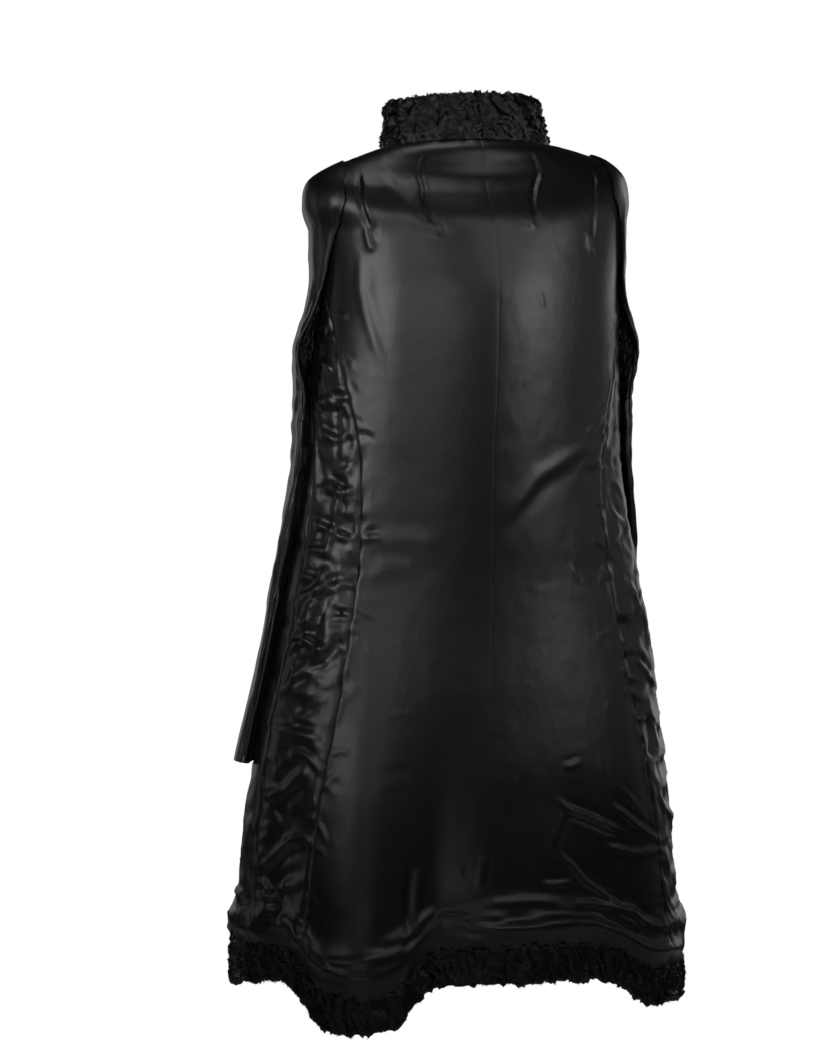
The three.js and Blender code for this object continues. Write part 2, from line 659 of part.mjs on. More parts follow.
function gusset(name, side) {
  const places = gussetPlaces.slice(1, -1);
  const gussetWay = (place, share) => share * (gussetReach(place) - WAY_GAP);
  const proud = (u, v) => FUR_PROUD * Math.sin(Math.PI * u) * Math.sin(Math.PI * v);
  return sleevePatch(name, FUR, side, places, gussetWay, spread(0, 1, GUSSET_ROWS), proud);
}

const coat = new THREE.Group();
for (const [word, side] of [["left", LEFT], ["right", RIGHT]]) {
  coat.add(backPanel(`back_${word}`, side));
  coat.add(sidePanel(`side_${word}`, side));
  coat.add(sideFrontPanel(`side_front_${word}`, side));
  coat.add(frontPanel(`front_${word}`, side));
  coat.add(facing(`facing_${word}`, side));
  coat.add(hemBand(`hem_back_${word}`, side, hemAngles().back));
  coat.add(hemBand(`hem_front_${word}`, side, hemAngles().front));
  coat.add(collarHalf(`collar_${word}`, side));
  coat.add(upperSleeve(`sleeve_upper_${word}`, side));
  coat.add(underSleeve(`sleeve_under_${word}`, side));
  coat.add(gusset(`gusset_${word}`, side));
}

export default coat;
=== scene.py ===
"""A knee-length fur coat worn inside out: its satin lining outside, its fur at the edges.

The surface is worked out in millimetres from the same named sizes as the solids, and every piece
is made in metres in the frame's own space. The wearer faces -Y and the wearer's left is +X.
"""

import math

import bpy
import numpy as np
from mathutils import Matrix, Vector


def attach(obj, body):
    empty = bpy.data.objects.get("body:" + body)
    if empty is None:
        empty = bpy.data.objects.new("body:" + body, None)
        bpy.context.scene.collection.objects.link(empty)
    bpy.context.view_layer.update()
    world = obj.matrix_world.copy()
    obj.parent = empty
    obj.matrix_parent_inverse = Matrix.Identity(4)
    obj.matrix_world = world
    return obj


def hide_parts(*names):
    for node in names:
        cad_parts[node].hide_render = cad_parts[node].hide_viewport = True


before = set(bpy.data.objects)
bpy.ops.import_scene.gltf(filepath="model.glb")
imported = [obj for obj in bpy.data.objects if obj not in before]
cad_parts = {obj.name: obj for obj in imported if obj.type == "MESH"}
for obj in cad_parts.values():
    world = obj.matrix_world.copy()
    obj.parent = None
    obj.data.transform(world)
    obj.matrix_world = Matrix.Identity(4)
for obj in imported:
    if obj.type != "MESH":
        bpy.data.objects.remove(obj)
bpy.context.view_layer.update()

LEFT, RIGHT = 1, -1
SIDES = (("left", LEFT), ("right", RIGHT))
METRES = 0.001

# Sizes shared with the solids, in millimetres and degrees
SEAM_GAP = 0.3
STITCH_GAP = 0.04  # half the space left between two sewn cloths
RIM_ANGLE = 62  # degrees: a cloth's rim is shaded apart from its faces
FUR_PROUD = 3
FACING_WIDTH = 62
FACING_RISE = 12
FRONT_GAP = 8
HEM_LEVEL = -950
HEM_BAND = 44
HEM_THICKNESS = 12
COLLAR_HEIGHT = 56
COLLAR_FRONT_HEIGHT = 48
COLLAR_THICKNESS = 10
COLLAR_LEAN = 11
COLLAR_SHIFT = 5
BLOUSE_LEVEL = -884
BLOUSE_HEIGHT = 20
BLOUSE_DEPTH = 8
CUFF_LEVEL = -709
SLEEVE_FREE_LEVEL = -318
SLEEVE_CLEARANCE = 4
ROOT_CLEARANCE = 2.2
FRONT_SHOULDER_LEVEL = -24
BACK_FOLD = 0.4
FRONT_FOLD = 0.66
HEAD_POWER = 1.2
HEAD_TURN = 0.65
BUNCH_LEVEL = -235
BUNCH_HEIGHT = 45
BUNCH_DEPTH = 15
BUNCH_PLACE = 0.18
GUSSET_DEPTH = 0.42
FOLD_POWER = 2
DROP_POWER = 4

# Level at the sides: heights at centre back and front, half the width, lean and rise
WIDTHS = (
    (3, 5, -60, 98, 0, 4),
    (0, -6, -66, 114, 0, 6),
    (-8, -24, -77, 140, -1, 9),
    (-19, -41, -91, 168, -3, 11),
    (-37, -62, -108, 189, -2, 11),
    (-62, -88, -126, 193, -3, 9),
    (-90, -112, -146, 186, -6, 8),
    (-130, -141, -170, 183, -6, 7),
    (-170, -174, -198, 182, -5, 6),
    (-235, -235, -245, 186, -4, 5),
    (-295, -295, -298, 189, -2, 3),
    (-365, -365, -365, 191, 0, 2),
    (-480, -480, -480, 209, -2, 0),
    (-570, -570, -570, 226, -3, 0),
    (-660, -660, -660, 242, -2, 0),
    (-755, -755, -755, 255, -1, 0),
    (-850, -850, -850, 262, 0, 0),
    (-960, -960, -960, 266, -2, 0),
)

# Level at the sides: depths behind and in front of the middle, the middle, and the back's power
DEPTHS = (
    (3, 58, 80, 0, 2),
    (0, 66, 85, 0, 2),
    (-8, 69, 92, 0, 2),
    (-19, 73, 100, 0, 2),
    (-37, 86, 107, 0, 1.95),
    (-62, 98, 113, 0, 1.9),
    (-90, 102, 119, 0, 1.85),
    (-130, 104, 126, 0, 1.75),
    (-170, 105, 132, 0, 1.7),
    (-235, 105, 134, 0, 1.65),
    (-295, 103, 128, 2, 1.6),
    (-365, 100, 113, 5, 1.6),
    (-480, 106, 122, 1, 1.75),
    (-570, 112, 136, -3, 1.95),
    (-660, 125, 146, -13, 2.05),
    (-755, 138, 156, -21, 2.1),
    (-850, 150, 164, -26, 2.15),
    (-960, 162, 172, -33, 2.15),
)

# The skirt's folds: angle, width, bulge, drop and the level where each starts
FOLDS = (
    (36, 16, 31, 47, -520),
    (17, 9, -18, 0, -600),
    (-2, 11, 5, 0, -640),
    (-25, 8, -9, 4, -700),
    (-53, 20, 14, 41, -600),
    (63, 6, -9, 0, -640),
    (84, 9, 2, 2, -640),
    (-82, 8, -6, 4, -700),
    (122, 13, 20, 26, -720),
    (146, 9, -15, 0, -600),
    (167, 9, 9, 12, -600),
    (-112, 12, 18, 20, -720),
    (-137, 10, -13, 0, -620),
    (-160, 10, 11, 16, -620),
)

# The back's own slow curve, out over the shoulder blades and in at the waist: level, offset
POSTURE = (
    (-40, 0),
    (-100, 1.5),
    (-165, 6),
    (-215, 6.5),
    (-330, 2),
    (-430, -4),
    (-500, -8),
    (-560, -7),
    (-640, -1.5),
    (-720, 3),
    (-800, 2),
    (-870, 0),
)

# Seams as level and angle
PRINCESS = (
    (-150, 86),
    (-175, 79.5),
    (-210, 72),
    (-257, 64.5),
    (-305, 58.5),
    (-340, 55.5),
    (-400, 52.5),
    (-480, 50),
    (-620, 48.5),
    (-760, 50.5),
    (-960, 52),
)
SIDE_SEAM = (
    (-284, 92),
    (-330, 84),
    (-400, 79),
    (-560, 78.5),
    (-660, 80),
    (-760, 78),
    (-960, 77),
)

# The armhole as angle and level, once round from the shoulder tip
ARMHOLE = np.array(
    (
        (90, -12),
        (66, -22),
        (58, -50),
        (64, -80),
        (75, -114),
        (86, -150),
        (93, -192),
        (95, -240),
        (92, -284),
        (104, -290),
        (115, -266),
        (122, -225),
        (126, -172),
        (124, -115),
        (115, -62),
        (104, -28),
    ),
    float,
)
JUNCTION = 5
UNDERARM = 8
SIDE_START = 0.06
FRONT_SEAM_ROW = 12
FRONT_SEAM = 4 / 9  # where the seam between the two front panels runs, as a share of their width
GUSSET_START = 6 * 5 / 16 / 7
GUSSET_END = 0.5

# The hanging sleeve: level, middle, half its spread, thickness, and the right one's turn forward
SLEEVE = (
    (-318, 113, 26, 14, 0),
    (-420, 113, 23, 15, 2),
    (-540, 112, 20, 16, 11),
    (-640, 109, 17.5, 15, 16),
    (-709, 107, 16, 18, 15),
)

NECK_LEVEL = WIDTHS[0][0] - SEAM_GAP
LINING_END = HEM_LEVEL + HEM_BAND + SEAM_GAP
CENTRE_ROUND = 0.22  # how broadly the back is rounded at its middle, as a share of its half width
CENTRE_SEAM = 2.0  # degrees: the centre back seam hangs a little to the left
SHOULDER_ANGLE = 90
ARMHOLE_TOP = -150  # level: the side panel starts under it
SIDE_PANEL_TOP = -284

SATIN_THICKNESS = 1.0
PELT_OUT = -2.4  # the pelt's outer and inner face, from the smooth surface
PELT_IN = -4.2
LINING_TUCK = 6  # the lining goes on behind the hem's fur

# Fur: how many hairs each piece has, their mean length and thickness, and how high the curls stand
FACING_HAIRS, COLLAR_HAIRS, GUSSET_HAIRS = 3600, 4600, 2600
HEM_BACK_HAIRS, HEM_FRONT_HAIRS = 5600, 3600
FACING_HAIR, HEM_HAIR, COLLAR_HAIR, GUSSET_HAIR = 4.2, 4.6, 4.4, 4.2
HAIR_RADIUS = 0.2
PELT_CURL, FACING_CURL, HEM_CURL, COLLAR_CURL, GUSSET_CURL = 1.6, 2.6, 6.2, 6.0, 3.0
CURL_SINK = 2.2  # how far the hollows between a roll's curls go in

# How the hairs' lay turns over a piece: its swing, spacing, where the noise starts, and its middle
FACING_LAY = (2.4, 19, 5, 0.5)
HEM_LAY = (2.6, 17, 9, 1.0)
COLLAR_LAY = (2.6, 17, 3, 1.0)
GUSSET_LAY = (2.4, 17, 5, 0)

# Millimetres to a degree round the coat, and the sleeve's girth and length, for the curls' spacing
PELT_DEGREE, FACING_DEGREE, HEM_DEGREE, COLLAR_DEGREE = 3.6, 3.1, 4.3, 1.6
SLEEVE_GIRTH = 330
SLEEVE_HALF_LENGTH = 390

# Mesh steps, in millimetres
BACK_STEP = 3.7
FRONT_STEP = 5.8
PELT_STEP = 11
FUR_STEP = 2.2


def curve(rows, column):
    """A smooth curve through one column of a table, with no overshoot between its rows."""
    table = np.array(sorted(rows), float)
    keys, values = table[:, 0], table[:, column]
    last = len(keys) - 1
    after = np.minimum(np.arange(last + 1) + 1, last)
    before = np.maximum(np.arange(last + 1) - 1, 0)
    central = (values[after] - values[before]) / (keys[after] - keys[before])
    inner = np.diff(values) / np.diff(keys)

    def limited(slope, of):
        held = np.sign(slope) * np.minimum(np.abs(slope), 3 * np.abs(of))
        return np.where(slope * of <= 0, 0, held)

    def read(place):
        place = np.asarray(place, float)
        i = np.clip(np.searchsorted(keys, place, side="right") - 1, 0, last - 1)
        span = keys[i + 1] - keys[i]
        t = np.clip((place - keys[i]) / span, 0, 1)
        first = limited(central[i], inner[i]) * span
        second = limited(central[i + 1], inner[i]) * span
        t2, t3 = t * t, t * t * t
        return (
            (2 * t3 - 3 * t2 + 1) * values[i]
            + (t3 - 2 * t2 + t) * first
            + (3 * t2 - 2 * t3) * values[i + 1]
            + (t3 - t2) * second
        )

    return read


back_height, front_height, half_width, lean, rise = (curve(WIDTHS, c) for c in range(1, 6))
back_depth, front_depth, centre, back_power = (curve(DEPTHS, c) for c in range(1, 5))
princess = curve(PRINCESS, 1)
side_seam = curve(SIDE_SEAM, 1)
posture = curve(POSTURE, 1)
sleeve_middle, sleeve_spread, sleeve_thickness, sleeve_forward = (
    curve(SLEEVE, c) for c in range(1, 5)
)


def smooth(x):
    x = np.clip(x, 0, 1)
    return x * x * (3 - 2 * x)


def fold_sum(angle, level, column, power):
    total = 0
    for at, width, bulge, drop, top in FOLDS:
        away = np.mod(angle - at + 540, 360) - 180
        growth = smooth((top - level) / (top - HEM_LEVEL))
        total = total + (bulge, drop)[column] * np.exp(-((away / width) ** power)) * growth
    return total


def section(angle, level):
    """A point of the smooth section at one level, with no folds."""
    turn = np.radians(angle)
    sine, cosine = np.sin(turn), np.cos(turn)
    is_back = cosine >= 0
    power = np.where(is_back, back_power(level), 2)
    depth = np.where(is_back, back_depth(level), front_depth(level))
    end = np.where(is_back, back_height(level), front_height(level))
    wide = np.abs(sine) ** (2 / power)
    x = lean(level) + half_width(level) * np.sign(sine) * wide
    eased = ((wide**2 + CENTRE_ROUND**2) ** (power / 2) - CENTRE_ROUND**power) / (
        (1 + CENTRE_ROUND**2) ** (power / 2) - CENTRE_ROUND**power
    )
    y = centre(level) + depth * np.sign(cosine) * np.clip(1 - eased, 0, 1) ** (1 / power)
    z = end + (level - end) * sine * sine - rise(level) * sine
    return np.stack(np.broadcast_arrays(x, y, z), -1)


def unit(vectors):
    return vectors / np.maximum(np.linalg.norm(vectors, axis=-1, keepdims=True), 1e-9)


def body(angle, level):
    """The coat's outer face."""
    point = section(angle, level)
    along = section(angle + 0.5, level) - section(angle - 0.5, level)
    outward = unit(np.stack((-along[..., 1], along[..., 0], np.zeros_like(along[..., 0])), -1))
    blouse = BLOUSE_DEPTH * np.exp(-(((level - BLOUSE_LEVEL) / BLOUSE_HEIGHT) ** 2))
    bulge = fold_sum(angle, level, 0, FOLD_POWER) + blouse
    point = point + outward * bulge[..., None]
    point[..., 2] -= fold_sum(angle, level, 1, DROP_POWER)
    return point


def body_normal(angle, level):
    across = body(angle + 0.5, level) - body(angle - 0.5, level)
    down = body(angle, level - 2) - body(angle, level + 2)
    return unit(np.cross(across, down))


def degrees_per_mm(angle, level):
    return 1 / np.linalg.norm(body(angle + 0.5, level) - body(angle - 0.5, level), axis=-1)


def angle_of(width, angle, level):
    """The angle that a width in millimetres takes up at one place."""
    return width * float(degrees_per_mm(np.array(float(angle)), np.array(float(level))))


def gone_along(points):
    """How far along a line each of its points lies."""
    return np.concatenate(((0,), np.cumsum(np.linalg.norm(np.diff(points, axis=0), axis=1))))


def armhole(share):
    """The armhole's angle and level at a share of its way round."""
    count = len(ARMHOLE)
    place = np.mod(share, 1) * count
    i = np.floor(place).astype(int)
    t = (place - i)[..., None]
    a, b, c, d = (ARMHOLE[(i + k) % count] for k in (-1, 0, 1, 2))
    point = b + 0.5 * t * (c - a + t * (2 * a - 5 * b + 4 * c - d + t * (3 * (b - c) + d - a)))
    return point[..., 0], point[..., 1]


HASH_STEP = np.uint64(6364136223846793005)
HASH_START = np.uint64(1442695)
HASH_MIX = np.uint64(0x9E3779B97F4A7C15)
LOW_BITS = np.uint64(0xFFFFFF)


def hashed(*cells):
    """A fixed random number from -1 to 1 for each cell of a lattice."""
    h = np.zeros(cells[0].shape, np.uint64)
    for k, cell in enumerate(cells):
        whole = cell.astype(np.int64).astype(np.uint64)
        h = h * HASH_STEP + (whole + np.uint64(k) + HASH_START)
        h ^= h >> np.uint64(29)
        h = h * HASH_MIX
        h ^= h >> np.uint64(32)
    return (h & LOW_BITS).astype(float) / float(LOW_BITS) * 2 - 1


def noise(points):
    """Smooth noise from -1 to 1 at points whose last axis has any number of coordinates."""
    with np.errstate(over="ignore"):
        cell = np.floor(points)
        t = points - cell
        t = t * t * t * (t * (6 * t - 15) + 10)
        count = points.shape[-1]
        total = 0
        for corner in range(2**count):
            weight, at = 1, []
            for k in range(count):
                up = corner >> k & 1
                weight = weight * (t[..., k] if up else 1 - t[..., k])
                at.append(cell[..., k] + up)
            total = total + weight * hashed(*at)
    return total


def mesh_object(name, points, quads, triangles, material):
    """An object from points in millimetres, with four-sided and three-sided faces."""
    quads = np.asarray(quads, np.int32).reshape(-1, 4)
    triangles = np.asarray(triangles, np.int32).reshape(-1, 3)
    mesh = bpy.data.meshes.new(name)
    mesh.vertices.add(len(points))
    mesh.vertices.foreach_set("co", (points * METRES).astype(np.float32).ravel())
    loops = np.concatenate((quads.ravel(), triangles.ravel()))
    first_triangle = len(quads) * 4
    starts = np.concatenate(
        (np.arange(len(quads)) * 4, first_triangle + np.arange(len(triangles)) * 3)
    )
    mesh.loops.add(len(loops))
    mesh.loops.foreach_set("vertex_index", loops)
    mesh.polygons.add(len(starts))
    mesh.polygons.foreach_set("loop_start", starts.astype(np.int32))
    mesh.polygons.foreach_set("use_smooth", np.ones(len(starts), bool))
    mesh.update(calc_edges=True)
    mesh.materials.append(material)
    made = bpy.data.objects.new(name, mesh)
    bpy.context.scene.collection.objects.link(made)
    return made


NO_QUADS = np.zeros((0, 4), int)
NO_TRIANGLES = np.zeros((0, 3), int)


def signed_volume(points, quads, triangles):
    faces = np.concatenate((quads[:, [0, 1, 2]], quads[:, [0, 2, 3]], triangles))
    a, b, c = (points[faces[:, k]] for k in range(3))
    return float((a * np.cross(b, c)).sum())


def facing_out(points, quads, triangles):
    if signed_volume(points, quads, triangles) < 0:
        return quads[:, ::-1], triangles[:, ::-1]
    return quads, triangles


def shell(name, outer, inner, material):
    """A closed thin wall of cloth from two grids."""
    rows, columns = outer.shape[:2]
    points = np.concatenate((outer.reshape(-1, 3), inner.reshape(-1, 3)))
    index = np.arange(rows * columns).reshape(rows, columns)
    corners = (index[:-1, :-1], index[1:, :-1], index[1:, 1:], index[:-1, 1:])
    front = np.stack(corners, -1).reshape(-1, 4)
    rear = front[:, ::-1] + rows * columns
    rim = np.concatenate((index[:, 0], index[-1, 1:], index[-2::-1, -1], index[0, -2:0:-1]))
    after = np.roll(rim, -1)
    edge = np.stack((rim, rim + rows * columns, after + rows * columns, after), -1)
    quads = np.concatenate((front, rear, edge))
    quads, triangles = facing_out(points, quads, NO_TRIANGLES)
    made = mesh_object(name, points, quads, triangles, material)
    made.data.set_sharp_from_angle(angle=math.radians(RIM_ANGLE))
    return made


def cut_size(grid):
    """Width, length and area in metres of a panel laid flat."""
    across = np.linalg.norm(np.diff(grid, axis=1), axis=-1)
    down = np.linalg.norm(np.diff(grid, axis=0), axis=-1)
    a, b = grid[1:, 1:] - grid[:-1, :-1], grid[1:, :-1] - grid[:-1, 1:]
    area = np.linalg.norm(np.cross(a, b), axis=-1).sum() / 2
    width, length = across.sum(axis=1).max(), down.sum(axis=0).max()
    return width * METRES, length * METRES, area * METRES**2


# Creases of the lining, each as width, height, and its path in angle and level. A height under 0
# is a trough. The left is positive.
CREASES = (
    # from the left princess seam to the side
    (7, 5.0, ((62.8, -479), (65.9, -515), (69.7, -562))),
    (6, 3.0, ((52.8, -555), (60.8, -585), (75.4, -618))),
    (6, 4.0, ((54.8, -776), (65.2, -803), (76.2, -826))),
    (3.5, -2.0, ((65.9, -292), (65.2, -327), (65, -361))),
    (4, 2.4, ((62.4, -384), (62.4, -430), (64.6, -475))),
    (4, 2.6, ((80.4, -246), (74, -250), (69.4, -259))),
    (5, 2.8, ((79, -297), (73, -289), (67, -292))),
    (5, 3.0, ((78.2, -326), (66.1, -338), (58.6, -334))),
    (5, 3.2, ((72.3, -384), (61.2, -398), (54.6, -395))),
    (4, 2.6, ((77.5, -430), (63.7, -441), (54, -453))),
    (6, 3.2, ((78.8, -521), (65.3, -509), (54.5, -503))),
    (6, 2.8, ((77.2, -656), (63.8, -671), (52.7, -672))),
    (7, 3.4, ((77.5, -746), (65.2, -733), (54.1, -706))),
    (6, 3.0, ((73.4, -863), (64.5, -845), (52.5, -823))),
    (5, 2.6, ((79, -803), (72.9, -835), (67.5, -867))),
    (4, 2.4, ((79, -493), (72, -495), (66, -500))),
    (5, 2.8, ((79, -577), (67.6, -565), (54.4, -581))),
    # the left shoulder's dart and what hangs from it
    (2.6, -2.6, ((56, -22), (51.2, -35), (50.6, -65), (51, -100))),
    (4, 2.2, ((50.6, -78), (52.4, -95), (51.6, -112), (48.4, -112))),
    (6, 1.0, ((57, -116), (57, -165), (53.2, -200), (45.3, -259))),
    (9, 1.2, ((45.7, -17), (32.6, -47), (27.2, -90))),
    # neck darts
    (2.2, -2.1, ((33.8, -1), (26, -30), (25.6, -52), (25.9, -76))),
    (2.2, -2.1, ((-28.2, -2), (-17.5, -29), (-15.2, -45), (-14.4, -62))),
    (4, 1.6, ((25.9, -72), (24, -82), (25, -92))),
    (4, 1.6, ((-14.4, -58), (-13, -70), (-13.5, -80))),
    # the right shoulder's dart
    (2.4, -2.4, ((-51.3, -21), (-44.5, -43), (-42.9, -71), (-42.6, -107))),
    (4, 1.8, ((-40.5, -90), (-41.5, -112), (-45, -126))),
    # from the right princess seam over the back
    (
        9,
        1.7,
        ((-55.6, -330), (-46.8, -345), (-36.8, -357), (-21.4, -380), (-8, -418), (-1.4, -442)),
    ),
    (6, 1.5, ((-55.7, -345), (-46.6, -360), (-38.8, -376))),
    (4, 2.2, ((-53.8, -362), (-48, -368), (-44.9, -374))),
    (5, 1.6, ((-55, -315), (-49, -322), (-43, -336))),
    # pressed creases at the lower right
    (3.2, 2.8, ((-14.2, -744), (-17.9, -757), (-27.7, -771), (-34.8, -779))),
    (2.6, -1.8, ((-16.6, -762), (-28.3, -779), (-36.2, -782))),
    (2.8, 2.0, ((-16.7, -757), (-14.5, -778), (-12.8, -798))),
    (3.4, 2.6, ((-32, -750), (-41.3, -764), (-53.3, -783))),
    (3.2, 2.4, ((-28.6, -799), (-38.5, -794), (-53, -787))),
    (3.4, 3.0, ((-14.4, -806), (-22.3, -839), (-32.7, -861))),
    (4.5, 3.0, ((-34.4, -852), (-40.7, -860), (-53.9, -871))),
    (3, 2.0, ((-8.9, -839), (-13.3, -841), (-18, -838))),
    (3, 2.0, ((3.9, -803), (4.4, -821), (5.1, -839))),
    (2.6, 1.4, ((9.2, -815), (9.3, -822), (9.4, -829))),
    (3, 1.4, ((-3.7, -717), (-2.6, -733), (-1.5, -750))),
    (3, 1.6, ((-16.9, -710), (-19.7, -708), (-22.7, -704))),
    (3, 1.0, ((-30, -692), (-28.2, -748), (-28.1, -808))),
    (2.2, 1.0, ((-17.6, -168), (-19.1, -179), (-19.7, -190))),
    (2.6, 1.2, ((-31.6, -482), (-32.5, -493), (-33.2, -502))),
    # the left waist
    (12, 1.1, ((45.8, -462), (35.7, -453), (22.2, -458))),
    (11, 0.9, ((46, -498), (38, -481), (27.9, -486))),
    # where the lining bags over the hem
    (6, 4.0, ((14.4, -876), (1.2, -886), (-12.8, -885), (-31.7, -890))),
    (4, 2.6, ((11.9, -894), (-3, -900), (-13.3, -897))),
    (6, 3.6, ((-20, -884), (-34, -890), (-50, -888), (-64, -893))),
    (6, -4.0, ((21.9, -790), (22.7, -828), (22.1, -870))),
    # the same on the hidden sides
    (6, 3.4, ((-62, -500), (-67, -530), (-73, -570))),
    (5, 2.8, ((-54, -590), (-63, -612), (-76, -630))),
    (6, 3.2, ((-55, -740), (-66, -762), (-77, -776))),
    (5, 2.6, ((-58, -420), (-68, -434), (-78, -428))),
    (7, 3.4, ((100, -420), (112, -450), (128, -500))),
    (7, 3.0, ((98, -560), (115, -590), (133, -600))),
    (6, 2.8, ((-100, -440), (-114, -470), (-128, -530))),
    (7, 3.0, ((-98, -580), (-116, -596), (-132, -640))),
    (6, 3.0, ((104, -700), (120, -740), (140, -760))),
    (6, 3.0, ((-104, -716), (-122, -748), (-138, -790))),
    (5, 2.4, ((138, -260), (148, -300), (150, -350))),
    (5, 2.4, ((-138, -250), (-147, -296), (-152, -340))),
)

VALLEY = 0.45  # the trough beside a ridge, as a share of its height
CREASE_REACH = 3.4  # how far a crease is felt, in its widths
CREASE_TAPER = 0.28  # share of its length over which a crease fades at each end
CREASE_END = 0.12  # how much of that fading is left out at the very end


def pull_marks(rng, seam, side, top, bottom, count, reach, height):
    """Short creases that spread from a seam on both sides of it."""
    marks = []
    for level in np.sort(rng.uniform(bottom, top, count))[::-1]:
        way = rng.choice((-1, 1))
        length = reach * rng.uniform(0.35, 1.2)
        slope = rng.normal(0.1, 0.45)
        start = seam(level) + 0.3 * way
        step = degrees_per_mm(np.array(side * start), np.array(level)) * length
        path = [
            (side * (start + way * step * t), level + slope * length * t + 3 * math.sin(3 * t))
            for t in (0, 0.5, 1)
        ]
        width = rng.uniform(2.2, 4.6)
        rise_by = height * rng.uniform(0.4, 1.2) * rng.choice((1, 1, -0.7))
        marks.append((width, rise_by, path))
    return marks


def bag_marks(rng, first, last, count):
    """Lying folds where the lining bags over the hem."""
    marks = []
    for angle in np.linspace(first, last, count):
        angle += rng.uniform(-2, 2)
        level = rng.uniform(-893, -852)
        half = rng.uniform(4, 11)
        bend = rng.uniform(-9, 9)
        path = [(angle - half, level + bend), (angle, level), (angle + half, level + bend * 0.4)]
        marks.append((rng.uniform(3.5, 6.5), rng.uniform(1.2, 3.4), path))
    return marks


def all_creases():
    rng = np.random.default_rng(7)
    marks = list(CREASES)
    for _, side in SIDES:
        for seam, top, bottom, count, reach, height in (
            (princess, -190, -890, 50 if side == LEFT else 36, 22, 1.3),
            (side_seam, -300, -890, 34, 24, 1.3),
            (lambda level: 65 + 0 * level, -280, -880, 20, 34, 1.4),
            (lambda level: 118 + 0 * level, -330, -880, 20, 50, 1.6),
            (lambda level: 33 + 0 * level, -520, -880, 7, 50, 0.6),
        ):
            marks += pull_marks(rng, seam, side, top, bottom, count, reach, height)
    marks += bag_marks(rng, -178, 178, 62)
    return marks


def press(points, normals, marks):
    """The height that the creases give each point of a grid."""
    flat, up = points.reshape(-1, 3), normals.reshape(-1, 3)
    height = np.zeros(len(flat))
    for width, rise_by, path in marks:
        path = np.array(path, float)
        fine = np.linspace(0, len(path) - 1, 4 * (len(path) - 1) + 1)
        angle, level = (np.interp(fine, range(len(path)), path[:, k]) for k in (0, 1))
        line = body(angle, level)
        reach = CREASE_REACH * width
        inside = (flat > line.min(axis=0) - reach) & (flat < line.max(axis=0) + reach)
        near = np.flatnonzero(inside.all(axis=1))
        if not near.size:
            continue
        a, step = line[:-1], np.diff(line, axis=0)
        length = np.linalg.norm(step, axis=1)
        start = np.concatenate(((0,), np.cumsum(length)[:-1]))
        offset = flat[near][:, None] - a
        t = np.clip((offset * step).sum(-1) / (length**2), 0, 1)
        away = offset - t[..., None] * step
        k = (away**2).sum(-1).argmin(axis=1)
        row = np.arange(len(near))
        distance = np.linalg.norm(away[row, k], axis=1)
        along = (start[k] + t[row, k] * length[k]) / length.sum()
        turn = (np.cross(step[k], away[row, k]) * up[near]).sum(-1)
        signed = np.sign(turn) * distance
        taper = smooth(np.minimum(along, 1 - along) / CREASE_TAPER + CREASE_END)
        ridge = np.exp(-((distance / width) ** 2))
        beside = VALLEY * np.exp(-(((signed - 1.7 * width) / width) ** 2))
        height[near] += rise_by * taper * (ridge - beside)
    return height.reshape(points.shape[:2])


NO_SEAM = 999  # an angle that no point has
SEAM_DIP = 0.8
SEAM_SWELL = 0.35  # how the cloth swells on both sides of a seam
CENTRE_DIP = 0.2
CENTRE_SEAM_END = -690  # the centre seam can't be seen under this level
CENTRE_SEAM_FADE = 220


def seam_valleys(angle, level):
    """How a panel dips where it is sewn to the next."""
    per_mm = degrees_per_mm(angle, level)
    size = np.abs(angle)
    dip = 0
    for line in (
        np.where(level < ARMHOLE_TOP, princess(level), NO_SEAM),
        np.where(level < SIDE_PANEL_TOP, side_seam(level), NO_SEAM),
    ):
        distance = (size - line) / per_mm
        dip = dip + SEAM_DIP * np.exp(-((distance / 1.4) ** 2))
        dip = dip - SEAM_SWELL * np.exp(-(((np.abs(distance) - 4) / 2.2) ** 2))
    distance = (angle - CENTRE_SEAM) / per_mm
    shown = smooth((level - CENTRE_SEAM_END) / CENTRE_SEAM_FADE)
    dip = dip + CENTRE_DIP * np.exp(-(distance**2)) * (size < SHOULDER_ANGLE) * shown
    return -dip


MARKS = all_creases()


def crumple(points):
    """Sharp-edged small folds in cloth that lies loose, as they are where it is slack."""
    drift = np.stack([noise(points / 40 + 60 + 9 * k) for k in range(3)], -1) * 16
    place = points + drift
    large = np.sqrt(noise(place / (34, 34, 24) + 71) ** 2 + 0.004)
    small = np.sqrt(noise(place / (17, 17, 13) + 83) ** 2 + 0.004)
    return 3.4 * (0.3 - large) + 1.5 * (0.3 - small)


LOWEST, HIGHEST = -4.5, 8  # how far the lining's folds may go in and out


def lining_height(angle, level, points, normals):
    """How far the lining's cloth lies out from the smooth surface."""
    size = np.abs(angle)
    slack = 0.06 + 0.94 * smooth((size - princess(level) + 4) / 6)
    loose = np.maximum(0.22 + 0.78 * slack, 0.6 * smooth((-560 - level) / 300))
    broad = noise(points / (70, 70, 95)) * 1.4 + noise(points / (30, 30, 58) + 7) * 0.75
    fine = noise(points / (13, 13, 22) + 31) * 0.4
    sway = 0.6 * noise(points / (110, 110, 130) + 3)
    height = loose * (broad + fine) + slack * crumple(points) + sway
    height = height + press(points, normals, MARKS) + seam_valleys(angle, level)
    back = smooth((78 - size) / 40)
    return np.clip(height, LOWEST, HIGHEST) + posture(level) * back


def edge_shares(angles, levels):
    """How far along an edge each of its points lies, from 0 to 1, and the edge's length."""
    gone = gone_along(body(angles, levels))
    return gone / gone[-1], gone[-1]


